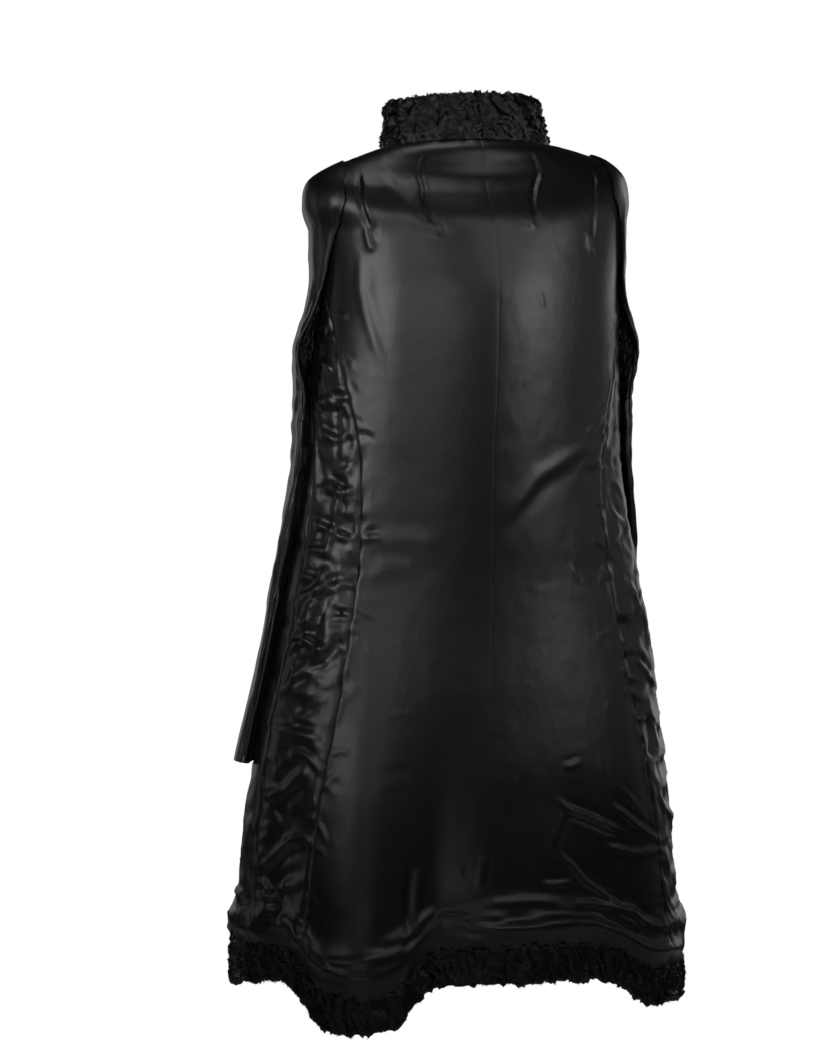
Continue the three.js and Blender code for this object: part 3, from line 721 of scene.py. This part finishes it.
def rows_of(edge_a, edge_b, step):
    """Both edges, read at the same shares and spaced evenly down the longer one."""
    place, length = edge_shares(*edge_b)
    other, other_length = edge_shares(*edge_a)
    if other_length > length:
        place, length = other, other_length
    rows = int(length / step) + 1
    at = np.interp(np.linspace(0, 1, rows), place, np.arange(len(place)))
    index = np.arange(len(place))
    return [[np.interp(at, index, column) for column in edge] for edge in (edge_a, edge_b)]


def run(*parts):
    """Joins stretches of an edge, each as (angles, levels)."""
    angles = np.concatenate([np.broadcast_to(a, np.shape(l)) for a, l in parts])
    levels = np.concatenate([l for _, l in parts])
    return angles, levels


def facing_line(level):
    return 180 - np.degrees(FACING_WIDTH / half_width(level))


shoulder = np.linspace(NECK_LEVEL, ARMHOLE[0][1], 24)
skirt = np.linspace(ARMHOLE[UNDERARM][1], LINING_END - LINING_TUCK, 160)
back_arm = armhole(np.linspace(0, JUNCTION, 90)[1:] / len(ARMHOLE))
side_arm = armhole(np.linspace(JUNCTION + SIDE_START, UNDERARM, 60) / len(ARMHOLE))
front_arm = armhole(np.linspace(len(ARMHOLE), UNDERARM, 120)[1:] / len(ARMHOLE))
junction_level = back_arm[1][-1]
below_junction = np.linspace(junction_level, LINING_END - LINING_TUCK, 220)[1:]
front_levels = np.concatenate(
    (
        np.linspace(NECK_LEVEL, FRONT_SHOULDER_LEVEL, 24),
        np.linspace(FRONT_SHOULDER_LEVEL, ARMHOLE[UNDERARM][1], 120)[1:],
        skirt[1:],
    )
)


def back_edges(side):
    outer = run((90, shoulder), back_arm, (princess(below_junction), below_junction))
    steps = np.pad(np.maximum(-np.diff(outer[1]), 0.05), 20, mode="edge")
    steps = np.convolve(steps, np.ones(41) / 41, mode="valid")
    fallen = np.concatenate(((0,), np.cumsum(steps)))
    levels = outer[1][0] + (outer[1][-1] - outer[1][0]) * fallen / fallen[-1]
    middle = (np.full_like(levels, side * CENTRE_SEAM), levels)
    return middle, outer


def side_edges(side):
    levels = np.concatenate((side_arm[1], skirt[1:]))
    outer = run(side_arm, (side_seam(skirt[1:]), skirt[1:]))
    return (princess(levels), levels), outer


def front_edges(side):
    outer = run((90, shoulder), front_arm, (side_seam(skirt[1:]), skirt[1:]))
    return outer, (facing_line(front_levels), front_levels)


def part_of(edges, first_share, last_share):
    """The stretch of a panel between two shares of its width."""

    def cut(side):
        first, second = (np.array(edge) for edge in edges(side))
        return tuple(first + (second - first) * share for share in (first_share, last_share))

    return cut


def facing_edges(side):
    opening = 180 - (FRONT_GAP / 2) * degrees_per_mm(np.full_like(front_levels, 180), front_levels)
    return (facing_line(front_levels), front_levels), (opening, front_levels)


def surface(edges, side, step):
    """The grid of a panel: its signed angles, levels, points and normals."""
    first, second = rows_of(*edges(side), step)
    first, second = np.array(first), np.array(second)
    ends = [body(side * edge[0], edge[1]) for edge in (first, second)]
    reach = np.linalg.norm(ends[0] - ends[1], axis=-1)
    columns = max(4, int(reach.max() * 1.1 / step))
    share = np.linspace(0, 1, columns + 1)
    angle = first[0][:, None] + (second[0] - first[0])[:, None] * share
    level = first[1][:, None] + (second[1] - first[1])[:, None] * share
    trim = STITCH_GAP * degrees_per_mm(side * angle[:, [0, -1]], level[:, [0, -1]])
    way = np.sign(angle[:, -1] - angle[:, 0])
    angle[:, 0] += way * trim[:, 0]
    angle[:, -1] -= way * trim[:, 1]
    angle = side * angle
    return angle, level, body(angle, level), body_normal(angle, level)


def curls(along, up, seed):
    """The height, 0 to 1, of the pelt's flat wavy curls at places in millimetres."""
    place = np.stack(np.broadcast_arrays(along, up), -1)
    warp = np.stack((noise(place / 17 + seed), noise(place / 17 + seed + 40)), -1) * 4.5
    place = place + warp
    slant = math.radians(24)
    across = place[..., 0] * math.cos(slant) - place[..., 1] * math.sin(slant)
    down = place[..., 0] * math.sin(slant) + place[..., 1] * math.cos(slant)
    first = noise(np.stack((across / 7.5, down / 30), -1) + seed + 11)
    second = noise(np.stack((across / 4.2, down / 11), -1) + seed + 23)
    ridge = 1 - np.minimum(np.abs(first) * 2.4, 1)
    small = 1 - np.minimum(np.abs(second) * 2.2, 1)
    return np.clip(0.8 * ridge**1.5 + 0.28 * small, 0, 1)


def grid_normals(grid, wrap=False):
    """Normals of a grid of points, rows first. wrap closes it along its columns."""
    if wrap:
        side = np.roll(grid, -1, axis=1) - np.roll(grid, 1, axis=1)
    else:
        side = np.gradient(grid, axis=1)
    return unit(np.cross(np.gradient(grid, axis=0), side))


HAIR_FACES = (
    *((0, 1, 4), (0, 4, 3), (1, 2, 5), (1, 5, 4), (2, 0, 3), (2, 3, 5)),
    *((3, 4, 6), (4, 5, 6), (5, 3, 6), (0, 2, 1)),
)


def hairs(name, grid, normals, flow, rng, count, length, material, wrap=False, keep=None):
    """Short tapered hairs, three-sided and bent, that lie along the curls of a surface."""
    rows, columns = grid.shape[:2]
    span = columns if wrap else columns - 1
    r = rng.uniform(0, rows - 1.001, count)
    c = rng.uniform(0, span - 0.001, count)
    i, j = r.astype(int), c.astype(int)
    if keep is not None:
        kept = keep[i, j]
        r, c, i, j = r[kept], c[kept], i[kept], j[kept]
    count = len(r)
    s, t = (r - i)[:, None], (c - j)[:, None]
    j2 = (j + 1) % columns

    def mix(field):
        low = field[i, j] * (1 - t) + field[i, j2] * t
        high = field[i + 1, j] * (1 - t) + field[i + 1, j2] * t
        return low * (1 - s) + high * s

    base, up = mix(grid), unit(mix(normals))
    along = unit(grid[i + 1, j] - grid[i, j])
    side = unit(np.cross(up, along))
    along = np.cross(side, up)
    turn = flow[i, j] + rng.normal(0, 0.24, count)
    lay = along * np.cos(turn)[:, None] + side * np.sin(turn)[:, None]
    size = (length * rng.uniform(0.6, 1.3, count))[:, None]
    lift = rng.uniform(0.03, 0.22, count)[:, None]
    across = np.cross(lay, up)
    ring = [across, -0.5 * across + 0.87 * up, -0.5 * across - 0.87 * up]
    foot = base - 0.5 * up
    middle = base + 0.5 * size * lay + lift * size * up
    tip = base + size * lay + lift * 0.55 * size * up
    low_ring = [foot + HAIR_RADIUS * v for v in ring]
    high_ring = [middle + 0.75 * HAIR_RADIUS * v for v in ring]
    points = np.stack(low_ring + high_ring + [tip], 1)
    pattern = np.array(HAIR_FACES)
    triangles = (np.arange(count)[:, None, None] * points.shape[1] + pattern).reshape(-1, 3)
    if signed_volume(points[0], NO_QUADS, pattern) < 0:
        triangles = triangles[:, ::-1]
    return mesh_object(name, points.reshape(-1, 3), NO_QUADS, triangles, material)


def roll(name, grid, material):
    """A thick strip from rows of closed profiles, capped at both ends."""
    rows, columns = grid.shape[:2]
    index = np.arange(rows * columns).reshape(rows, columns)
    after = np.roll(index, -1, axis=1)
    quads = np.stack((index[:-1], index[1:], after[1:], after[:-1]), -1).reshape(-1, 4)
    points = grid.reshape(-1, 3)
    ends = np.stack((grid[0].mean(axis=0), grid[-1].mean(axis=0)))
    points = np.concatenate((points, ends))
    first, last = rows * columns, rows * columns + 1
    caps = np.concatenate(
        (
            np.stack((np.full(columns, first), index[0], after[0]), -1),
            np.stack((np.full(columns, last), after[-1], index[-1]), -1),
        )
    )
    quads, caps = facing_out(points, quads, caps)
    return mesh_object(name, points, quads, caps, material)


def even_profile(corners, step):
    """A closed outline with softened corners, as points at even steps, and its length."""
    corners = np.array(corners, float)
    closed = np.vstack((corners, corners[:1]))
    gone = gone_along(closed)
    count = int(gone[-1] / step)
    at = np.arange(count) / count * gone[-1]
    points = np.stack([np.interp(at, gone, closed[:, k]) for k in range(closed.shape[1])], -1)
    for _ in range(2):
        points = (np.roll(points, 1, axis=0) + 2 * points + np.roll(points, -1, axis=0)) / 4
    return points, gone[-1]


def new_material(name, **inputs):
    material = bpy.data.materials.new(name)
    material.use_nodes = True
    shader = material.node_tree.nodes["Principled BSDF"]
    for key, value in inputs.items():
        shader.inputs[key.replace("_", " ")].default_value = value
    return material, material.node_tree, shader


def node(tree, kind, **values):
    """A shader node with its properties and inputs set."""
    made = tree.nodes.new(kind)
    for key, value in values.items():
        if hasattr(made, key):
            setattr(made, key, value)
        else:
            made.inputs[key.replace("_", " ")].default_value = value
    return made


def mottled_material(name, scale, dark, light, smoothest, roughest, **inputs):
    """A material whose colour and roughness vary softly over the object."""
    material, tree, shader = new_material(name, **inputs)
    link = tree.links.new
    place = node(tree, "ShaderNodeTexCoord").outputs["Object"]
    mottle = node(tree, "ShaderNodeTexNoise", Scale=scale, Detail=3.0)
    link(place, mottle.inputs["Vector"])
    colour = node(tree, "ShaderNodeMix", data_type="RGBA")
    colour.inputs["A"].default_value = (*dark, 1)
    colour.inputs["B"].default_value = (*light, 1)
    link(mottle.outputs["Fac"], colour.inputs["Factor"])
    link(colour.outputs["Result"], shader.inputs["Base Color"])
    rough = node(tree, "ShaderNodeMapRange")
    rough.inputs["To Min"].default_value = smoothest
    rough.inputs["To Max"].default_value = roughest
    link(mottle.outputs["Fac"], rough.inputs["Value"])
    link(rough.outputs["Result"], shader.inputs["Roughness"])
    return material, tree, shader, place


def bump(tree, texture, strength, distance):
    made = node(tree, "ShaderNodeBump", Strength=strength, Distance=distance)
    tree.links.new(texture.outputs["Fac"], made.inputs["Height"])
    return made


def satin_material():
    """Black satin: a smooth face with a fine weave, slight mottling and small soft wrinkles."""
    dark, light = (0.0018, 0.0018, 0.0022), (0.0034, 0.0034, 0.0042)
    material, tree, shader, place = mottled_material(
        "black_satin",
        *(9.0, dark, light, 0.33, 0.42),
        Sheen_Weight=0.04,
        Sheen_Roughness=0.3,
        Sheen_Tint=(0.75, 0.78, 0.85, 1),
        Specular_IOR_Level=0.5,
    )
    link = tree.links.new
    weave = node(tree, "ShaderNodeTexWave", Scale=420.0, Distortion=0.6, bands_direction="DIAGONAL")
    link(place, weave.inputs["Vector"])
    stretch = node(tree, "ShaderNodeMapping")
    stretch.inputs["Scale"].default_value = (1, 1, 0.55)
    link(place, stretch.inputs["Vector"])
    wrinkle = node(
        tree, "ShaderNodeTexNoise", Scale=70.0, Detail=4.0, Roughness=0.55, Distortion=0.4
    )
    link(stretch.outputs["Vector"], wrinkle.inputs["Vector"])
    soft = bump(tree, wrinkle, 0.32, 0.0012)
    thread = bump(tree, weave, 0.12, 0.0002)
    link(soft.outputs["Normal"], thread.inputs["Normal"])
    link(thread.outputs["Normal"], shader.inputs["Normal"])
    return material


def fur_material(name, dark, light, roughness, shine):
    """Glossy black lamb fur, softly mottled in colour and roughness, combed into fine strands."""
    smoothest, roughest = roughness - 0.06, roughness + 0.1
    material, tree, shader, place = mottled_material(
        name, 60.0, dark, light, smoothest, roughest, Specular_IOR_Level=shine
    )
    strands = node(tree, "ShaderNodeTexNoise", Scale=900.0, Detail=2.0, Distortion=1.5)
    tree.links.new(place, strands.inputs["Vector"])
    combed = bump(tree, strands, 0.45, 0.0007)
    tree.links.new(combed.outputs["Normal"], shader.inputs["Normal"])
    return material


satin = satin_material()
fur = fur_material(
    "black_lamb_fur", (0.0009, 0.0009, 0.0009), (0.0026, 0.0025, 0.0025), 0.25, 0.32
)
strand = fur_material(
    "black_lamb_strand", (0.0008, 0.0008, 0.0008), (0.0020, 0.0019, 0.0019), 0.26, 0.05
)
pelt = fur_material(
    "black_lamb_pelt", (0.0035, 0.0033, 0.0032), (0.0090, 0.0086, 0.0084), 0.5, 0.3
)


def finish(piece, replaced=()):
    """Puts a piece on the one body, in place of the solids it stands for."""
    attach(piece, "root")
    if replaced:
        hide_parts(*replaced)
    return piece


LEAST_FILL = 0.5  # least share of the stated oblong that a sheet's cut fills


def declare(piece, size, held, **more):
    """States a sheet's flat size, with its widest row drawn in where the rest is far narrower."""
    width, length, area = size
    narrowest = 1.002 * area / length
    width = max(min(width, area / (LEAST_FILL * length)), narrowest)


def turned_to(normals, outward):
    """1 where a field of normals points the same way as another, or else -1."""
    return np.sign((normals * outward).sum())


def add_hair(piece, size, grid, normals, place, lay, seed, count, length, wrap=False, keep=None):
    """Covers a fur piece with hairs whose lay swings over it."""
    swing, spacing, offset, start = lay
    turn = swing * noise(np.stack(place, -1) / spacing + offset) + start
    fresh = grid_normals(grid, wrap)
    fresh = fresh * turned_to(fresh, normals)
    name = piece.name.replace("fur_", "hair_")
    rng = np.random.default_rng(seed)
    hair = hairs(name, grid, fresh, turn, rng, count, length, strand, wrap, keep)
    finish(hair)
    declare(piece, size, "folded", with_pieces=[hair])


def even_angles(side, line, level, first, last):
    """Angles FUR_STEP apart along a level line, and its length."""
    plain = np.linspace(first, last, 400)
    gone = gone_along(line(side * plain, np.full_like(plain, level)))
    even = np.linspace(0, gone[-1], int(gone[-1] / FUR_STEP))
    return np.interp(even, gone, plain), gone[-1]


def furred_roll(name, replaced, smooth_grid, normals, along, seed, pile_height, girth, fade=1):
    """A strip of fur round a rolled edge. Returns it, its grid, and the places of its curls."""
    columns = smooth_grid.shape[1]
    round_way = np.arange(columns) * girth / columns
    mirror = np.minimum(round_way, girth - round_way)
    along = along + 0 * mirror
    mirror = mirror + 0 * along
    pile = (curls(along, mirror, seed) * pile_height - CURL_SINK) * fade
    grid = smooth_grid + normals * pile[..., None]
    return finish(roll(name, grid, fur), [replaced]), grid, (along, mirror)


def body_panel(word, side, part, edges, step):
    angle, level, points, normals = surface(edges, side, step)
    height = lining_height(angle, level, points, normals)
    outer = points + normals * height[..., None]
    inner = outer - normals * SATIN_THICKNESS
    lining = shell(f"satin_{part}_{word}", outer, inner, satin)
    finish(lining, [f"{part}_{word}"])
    size = cut_size(points)
    angle, level, points, normals = surface(edges, side, PELT_STEP)
    height = np.minimum(lining_height(angle, level, points, normals), 0) * 1.1
    pile = curls(angle * PELT_DEGREE, level, 5) * PELT_CURL
    outer = points + normals * (PELT_OUT + height)[..., None]
    inner = points + normals * (PELT_IN + height - pile)[..., None]
    skin = finish(shell(f"pelt_{part}_{word}", outer, inner, pelt))
    declare(skin, size, "hung")
    declare(lining, size, "hung", rests_on=[skin.name])


def facing_piece(word, side):
    angle, level, points, normals = surface(facing_edges, side, FUR_STEP * 1.5)
    proud = FUR_PROUD * smooth((NECK_LEVEL - level) / FACING_RISE)
    edge = np.linspace(0, 1, angle.shape[1])
    roundness = smooth(np.minimum(edge, 1 - edge) * 9)
    place = (angle * FACING_DEGREE, level)
    pile = (curls(*place, 2) * FACING_CURL + 0.2) * roundness
    outer = points + normals * (proud - 1.4 + pile)[..., None]
    inner = points - normals * 3
    piece = finish(shell(f"fur_facing_{word}", outer, inner, fur), [f"facing_{word}"])
    fur_of = (FACING_LAY, 40 + side, FACING_HAIRS, FACING_HAIR)
    add_hair(piece, cut_size(points), outer, normals, place, *fur_of)


def hem_piece(word, side, part, first, last, count):
    middle, half = HEM_LEVEL + HEM_BAND / 2, HEM_THICKNESS / 2
    straight = HEM_BAND / 2 - half
    corners = []
    for corner in (-90, -60, -30, 0, 0, 30, 60, 90, 120, 150, 180, 180, 210, 240):
        at_top = len(corners) >= 4 and len(corners) <= 10
        corners.append(
            (
                (straight if at_top else -straight) + half * math.sin(math.radians(corner)),
                half * math.cos(math.radians(corner)) + FUR_PROUD - half,
            )
        )
    profile, girth = even_profile(corners, FUR_STEP)
    angle, length = even_angles(side, body, HEM_LEVEL, first, last)
    rows = len(angle)
    trim = (SEAM_GAP / 2) * degrees_per_mm(side * angle[[0, -1]], np.full(2, HEM_LEVEL))
    angle[0] += trim[0]
    angle[-1] -= trim[1]
    angle = side * angle[:, None] + np.zeros(len(profile))
    level = middle + profile[:, 0] + np.zeros((rows, 1))
    smooth_grid = body(angle, level) + body_normal(angle, level) * profile[:, 1][:, None]
    normals = grid_normals(smooth_grid, wrap=True)
    half_way = rows // 2
    outward = body_normal(angle, level)[half_way] * np.sign(profile[:, 1:])
    normals = normals * turned_to(normals[half_way], outward)
    name = f"fur_hem_{part}_{word}"
    piece, grid, place = furred_roll(
        name, f"hem_{part}_{word}", smooth_grid, normals, angle * HEM_DEGREE, 0, HEM_CURL, girth
    )
    facing = np.broadcast_to(profile[:, 1] > -HEM_THICKNESS / 2, grid.shape[:2])
    fur_of = (HEM_LAY, 60 + side + len(part), count, HEM_HAIR, True, facing)
    add_hair(piece, strip_size(girth, length), grid, normals, place, *fur_of)


def strip_size(girth, length):
    """Width, length and area in metres of a strip folded over an edge."""
    width, length = girth / 2 * METRES, length * METRES
    return width, length, width * length


def collar_piece(word, side):
    half = COLLAR_THICKNESS / 2
    opening = 180 - angle_of(FRONT_GAP / 2, 180, NECK_LEVEL)
    gap = angle_of(SEAM_GAP / 2, 0, NECK_LEVEL)
    foot_level = WIDTHS[0][0]
    angle, length = even_angles(side, section, foot_level, gap, opening)
    angle = side * angle
    foot = section(angle, np.full_like(angle, foot_level))
    foot[:, 2] += SEAM_GAP
    inward = unit(-foot * (1, 1, 0))
    height = COLLAR_HEIGHT + (COLLAR_FRONT_HEIGHT - COLLAR_HEIGHT) * smooth(np.abs(angle) / 180)
    top = COLLAR_HEIGHT - half
    corners = [
        (-3, half - 3),
        (COLLAR_HEIGHT * 0.2, half),
        (top, half),
        (top + half * 0.7, half * 0.7),
        (COLLAR_HEIGHT, 0),
        (top + half * 0.7, -half * 0.7),
        (top, -half),
        (COLLAR_HEIGHT * 0.2, -half),
        (-3, 3 - half),
    ]
    profile, girth = even_profile(corners, FUR_STEP)
    share = profile[:, 0] / COLLAR_HEIGHT
    lean_in = COLLAR_LEAN * share - profile[:, 1]
    grid = foot[:, None] + inward[:, None] * lean_in[:, None]
    grid[..., 0] += COLLAR_SHIFT * share
    grid[..., 2] += share * height[:, None]
    normals = grid_normals(grid, wrap=True)
    outward = -inward[:, None] * np.sign(profile[:, 1])[:, None]
    normals = normals * turned_to(normals, outward)
    name, fade = f"fur_collar_{word}", 0.25 + 0.75 * smooth(profile[:, 0] / 8)
    along = angle[:, None] * COLLAR_DEGREE
    piece, grid, place = furred_roll(
        name, f"collar_{word}", grid, normals, along, 3, COLLAR_CURL, girth, fade
    )
    fur_of = (COLLAR_LAY, 80 + side, COLLAR_HAIRS, COLLAR_HAIR, True)
    add_hair(piece, strip_size(girth, length), grid, normals, place, *fur_of)


def folded_place(place):
    place = np.where(place < FRONT_FOLD - 1, place + 1, place)
    before = place * 0.25 / (1 - FRONT_FOLD)
    early = place * 0.25 / BACK_FOLD
    middle = 0.25 + 0.5 * (place - BACK_FOLD) / (FRONT_FOLD - BACK_FOLD)
    late = 0.75 + 0.25 * (place - FRONT_FOLD) / (1 - FRONT_FOLD)
    after = np.where(place > FRONT_FOLD, late, middle)
    return np.where(place < 0, before, np.where(place < BACK_FOLD, early, after))


def sleeve_point(side, place, way):
    """The sleeve's middle surface: round it from 0 to 1, and down it from 0 to 2."""
    turn = 2 * np.pi * folded_place(place)
    forward = 1 if side == RIGHT else 0
    level_free = SLEEVE_FREE_LEVEL + (CUFF_LEVEL - SLEEVE_FREE_LEVEL) * np.maximum(way - 1, 0)
    flat = np.sign(np.cos(turn)) * np.abs(np.cos(turn)) ** 0.7
    angle = sleeve_middle(level_free) + forward * sleeve_forward(level_free)
    angle = angle - sleeve_spread(level_free) * np.sin(turn)
    distance = SLEEVE_CLEARANCE + sleeve_thickness(level_free) / 2 * (1 + flat)
    root_angle, root_level = armhole(place)
    head = np.clip(way, 1e-6, 1)
    level = root_level + (SLEEVE_FREE_LEVEL - root_level) * head
    bunch = (
        BUNCH_DEPTH
        * np.exp(-(((level - BUNCH_LEVEL) / BUNCH_HEIGHT) ** 2))
        * (0.5 + 0.5 * np.cos(turn - 2 * np.pi * BUNCH_PLACE))
        * np.sin(np.pi * head)
    )
    head_angle = root_angle + (angle - root_angle) * head**HEAD_TURN
    head_distance = ROOT_CLEARANCE + (distance - ROOT_CLEARANCE) * head**HEAD_POWER + bunch
    is_head = way < 1
    angle = side * np.where(is_head, head_angle, angle)
    level = np.where(is_head, level, level_free)
    distance = np.where(is_head, head_distance, distance)
    return body(angle, level) + body_normal(angle, level) * distance[..., None]


def sleeve_normal(side, place, way):
    step, climb = 0.006, 0.012
    across = sleeve_point(side, place + step, way) - sleeve_point(side, place - step, way)
    above = np.maximum(way - climb, 0)
    down = sleeve_point(side, place, way + climb) - sleeve_point(side, place, above)
    return unit(np.cross(down, across)) * side


def gusset_reach(place):
    share = np.clip((place - GUSSET_START) / (GUSSET_END - GUSSET_START), 0, 1)
    return GUSSET_DEPTH * np.sin(np.pi * share) ** 0.8


def sleeve_piece(word, side, part, first, last):
    gap = 0.0012
    columns = 64 if part == "upper" else 40
    place = np.linspace(first + gap, last - gap, columns)[None, :]
    way = np.concatenate((np.linspace(0, 1, 54) ** 1.3, np.linspace(1, 2, 88)[1:]))[:, None]
    reach = gusset_reach(place)
    way = np.where(way >= 1, way, reach + (1 - reach) * way)
    place = place + 0 * way
    points, normals = sleeve_point(side, place, way), sleeve_normal(side, place, way)
    girth_mm, length_mm = place * SLEEVE_GIRTH, way * SLEEVE_HALF_LENGTH
    free = smooth(way)
    gathers = 2.8 * noise(np.stack((girth_mm / 12, length_mm / 70), -1) + 50 + side)
    gathers = gathers * np.exp(-((way / 0.5) ** 2))
    long_folds = 1.5 * noise(np.stack((girth_mm / 26, length_mm / 110), -1) + 9 + side) * free
    cross = 1.1 * noise(np.stack((girth_mm / 40, length_mm / 17), -1) + 90 + side)
    bends = [np.exp(-(((way - at) / wide) ** 2)) for at, wide in ((0.9, 0.35), (1.5, 0.3))]
    cross = cross * (0.35 + bends[0] + bends[1])
    edge = smooth(np.minimum(np.linspace(0, 1, columns), np.linspace(1, 0, columns)) * 14)
    start = smooth((way - reach) * 9)
    height = np.clip((gathers + long_folds + cross) * edge * start - 0.8 * (1 - edge), -1.6, 3)
    outer = points + normals * (1 + height)[..., None]
    inner = points - normals * (1 - height * 0.6)[..., None]
    name = f"satin_sleeve_{part}_{word}"
    piece = shell(name, outer, inner, satin)
    mesh = piece.data
    mesh.materials.append(pelt)
    rows = outer.shape[0]
    cells = (rows - 1) * (columns - 1)
    index = np.zeros(len(mesh.polygons), np.int32)
    index[cells : 2 * cells] = 1
    mesh.polygons.foreach_set("material_index", index)
    finish(piece, [f"sleeve_{part}_{word}"])
    declare(piece, cut_size(points), "hung")


def gusset_piece(word, side):
    place = np.linspace(GUSSET_START + 0.012, GUSSET_END - 0.012, 44)[None, :]
    share = np.linspace(0.0, 1, 56)[:, None]
    way = share * np.maximum(gusset_reach(place) - 0.012, 0.01)
    place = place + 0 * way
    points, normals = sleeve_point(side, place, way), sleeve_normal(side, place, way)
    span = np.linspace(0, 1, 44)[None, :]
    proud = FUR_PROUD * np.sin(np.pi * span) * np.sin(np.pi * share)
    rim = smooth(np.minimum(span, 1 - span) * 8) * smooth(np.minimum(share, 1 - share) * 8)
    place = (place * SLEEVE_GIRTH, way * SLEEVE_HALF_LENGTH)
    pile = curls(*place, 6) * GUSSET_CURL * rim
    outer = points + normals * (0.6 + proud + pile)[..., None]
    inner = points - normals
    piece = finish(shell(f"fur_gusset_{word}", outer, inner, fur), [f"gusset_{word}"])
    fur_of = (GUSSET_LAY, 90 + side, GUSSET_HAIRS, GUSSET_HAIR)
    add_hair(piece, cut_size(outer), outer, normals, place, *fur_of)


for word, side in SIDES:
    body_panel(word, side, "back", back_edges, BACK_STEP)
    body_panel(word, side, "side", side_edges, BACK_STEP)
    body_panel(word, side, "side_front", part_of(front_edges, 0, FRONT_SEAM), FRONT_STEP)
    body_panel(word, side, "front", part_of(front_edges, FRONT_SEAM, 1), FRONT_STEP)
    facing_piece(word, side)
    seam_end = float(side_seam(LINING_END))
    opening = 180 - angle_of(FRONT_GAP / 2, 180, HEM_LEVEL)
    hem_piece(word, side, "back", 0, seam_end, HEM_BACK_HAIRS)
    hem_piece(word, side, "front", seam_end, opening, HEM_FRONT_HAIRS)
    collar_piece(word, side)
    gusset_middle = (GUSSET_START + GUSSET_END) / 2
    sleeve_piece(word, side, "upper", FRONT_SEAM_ROW / 16 - 1, gusset_middle)
    sleeve_piece(word, side, "under", gusset_middle, FRONT_SEAM_ROW / 16)
    gusset_piece(word, side)

TOWARDS_CAMERA = Vector((0.309017, 0.951056, 0))
TO_THE_RIGHT = Vector((-0.951056, 0.309017, 0))
AIM = Vector((0, 0, -0.436)) + TO_THE_RIGHT * -0.0535
CAMERA_DISTANCE = 3.0
FLOOR_HEIGHT = -1.45
FLOOR_RADIUS = 1.9
LENS = 88.45
SENSOR_WIDTH = 36


def look_at(thing, place, target):
    thing.location = place
    thing.rotation_euler = (target - place).to_track_quat("-Z", "Y").to_euler()


camera_data = bpy.data.cameras.new("camera")
camera_data.lens = LENS
camera_data.sensor_width = SENSOR_WIDTH
camera = bpy.data.objects.new("camera", camera_data)
bpy.context.scene.collection.objects.link(camera)
look_at(camera, AIM + TOWARDS_CAMERA * CAMERA_DISTANCE, AIM)
bpy.context.scene.camera = camera


def softbox(name, turn, distance, up, width, height, watts, aim_up, spread):
    """A light at so many degrees to the right of the camera, and its height over the camera's."""
    data = bpy.data.lights.new(name, "AREA")
    data.shape = "RECTANGLE"
    data.size, data.size_y = width, height
    data.energy = watts
    data.spread = math.radians(spread)
    light = bpy.data.objects.new(name, data)
    bpy.context.scene.collection.objects.link(light)
    turn = math.radians(turn)
    across, towards = distance * math.sin(turn), distance * math.cos(turn)
    place = AIM + TO_THE_RIGHT * across + TOWARDS_CAMERA * towards + Vector((0, 0, up))
    look_at(light, place, AIM + Vector((0, 0, aim_up)))


# Name, turn, distance, height, width, length, watts, height of the aim, and spread. Boxes with
# grids light the upper back, and leave the skirt dark.
LIGHTS = (
    ("grid_box_left", -35, 1.9, 0.5, 0.8, 0.5, 0.9, 0.2, 45),
    ("grid_box_middle", 0, 1.9, 0.55, 0.8, 0.5, 0.3, 0.2, 45),
    ("grid_box_right", 60, 1.9, 0.5, 0.8, 0.5, 0.6, 0.2, 45),
    ("low_box", 0, 2.4, -0.75, 1.2, 0.35, 2, 0.1, 180),
    ("high_box", 35, 2.4, 1.4, 1.2, 0.5, 6, 0.1, 180),
    ("left_box", -95, 2.4, 0.3, 0.6, 1.6, 3, 0, 180),
    ("right_box", 100, 2.4, 0.3, 0.6, 1.6, 1.5, 0, 180),
    ("front_left_box", -145, 2.8, 0.5, 1.0, 1.8, 5, 0, 180),
    ("front_right_box", 140, 2.8, 0.4, 1.0, 1.8, 8, 0, 180),
    ("top_box", 0, 0.3, 2.3, 1.0, 1.0, 8, 0, 180),
)
for row in LIGHTS:
    softbox(*row)


def set_world():
    """White where the camera looks past the coat, and dim in what the cloth reflects."""
    world = bpy.data.worlds.new("studio")
    world.use_nodes = True
    tree = world.node_tree
    tree.nodes.clear()
    link = tree.links.new
    out = node(tree, "ShaderNodeOutputWorld")
    seen = node(tree, "ShaderNodeBackground", Color=(1, 1, 1, 1))
    lit = node(tree, "ShaderNodeBackground", Color=(0.004, 0.004, 0.0045, 1))
    mix = node(tree, "ShaderNodeMixShader")
    path = node(tree, "ShaderNodeLightPath")
    link(path.outputs["Is Camera Ray"], mix.inputs["Fac"])
    link(lit.outputs["Background"], mix.inputs[1])
    link(seen.outputs["Background"], mix.inputs[2])
    link(mix.outputs["Shader"], out.inputs["Surface"])
    bpy.context.scene.world = world


set_world()
bpy.context.scene.view_settings.view_transform = "Standard"

bpy.ops.mesh.primitive_circle_add(
    vertices=96, radius=FLOOR_RADIUS, fill_type="NGON", location=(0, 0, FLOOR_HEIGHT)
)
floor = bpy.context.object
floor.name = "studio_floor"
floor_material, _, floor_shader = new_material("pale_floor", Roughness=0.8)
floor_shader.inputs["Base Color"].default_value = (0.92, 0.92, 0.92, 1)
floor.data.materials.append(floor_material)
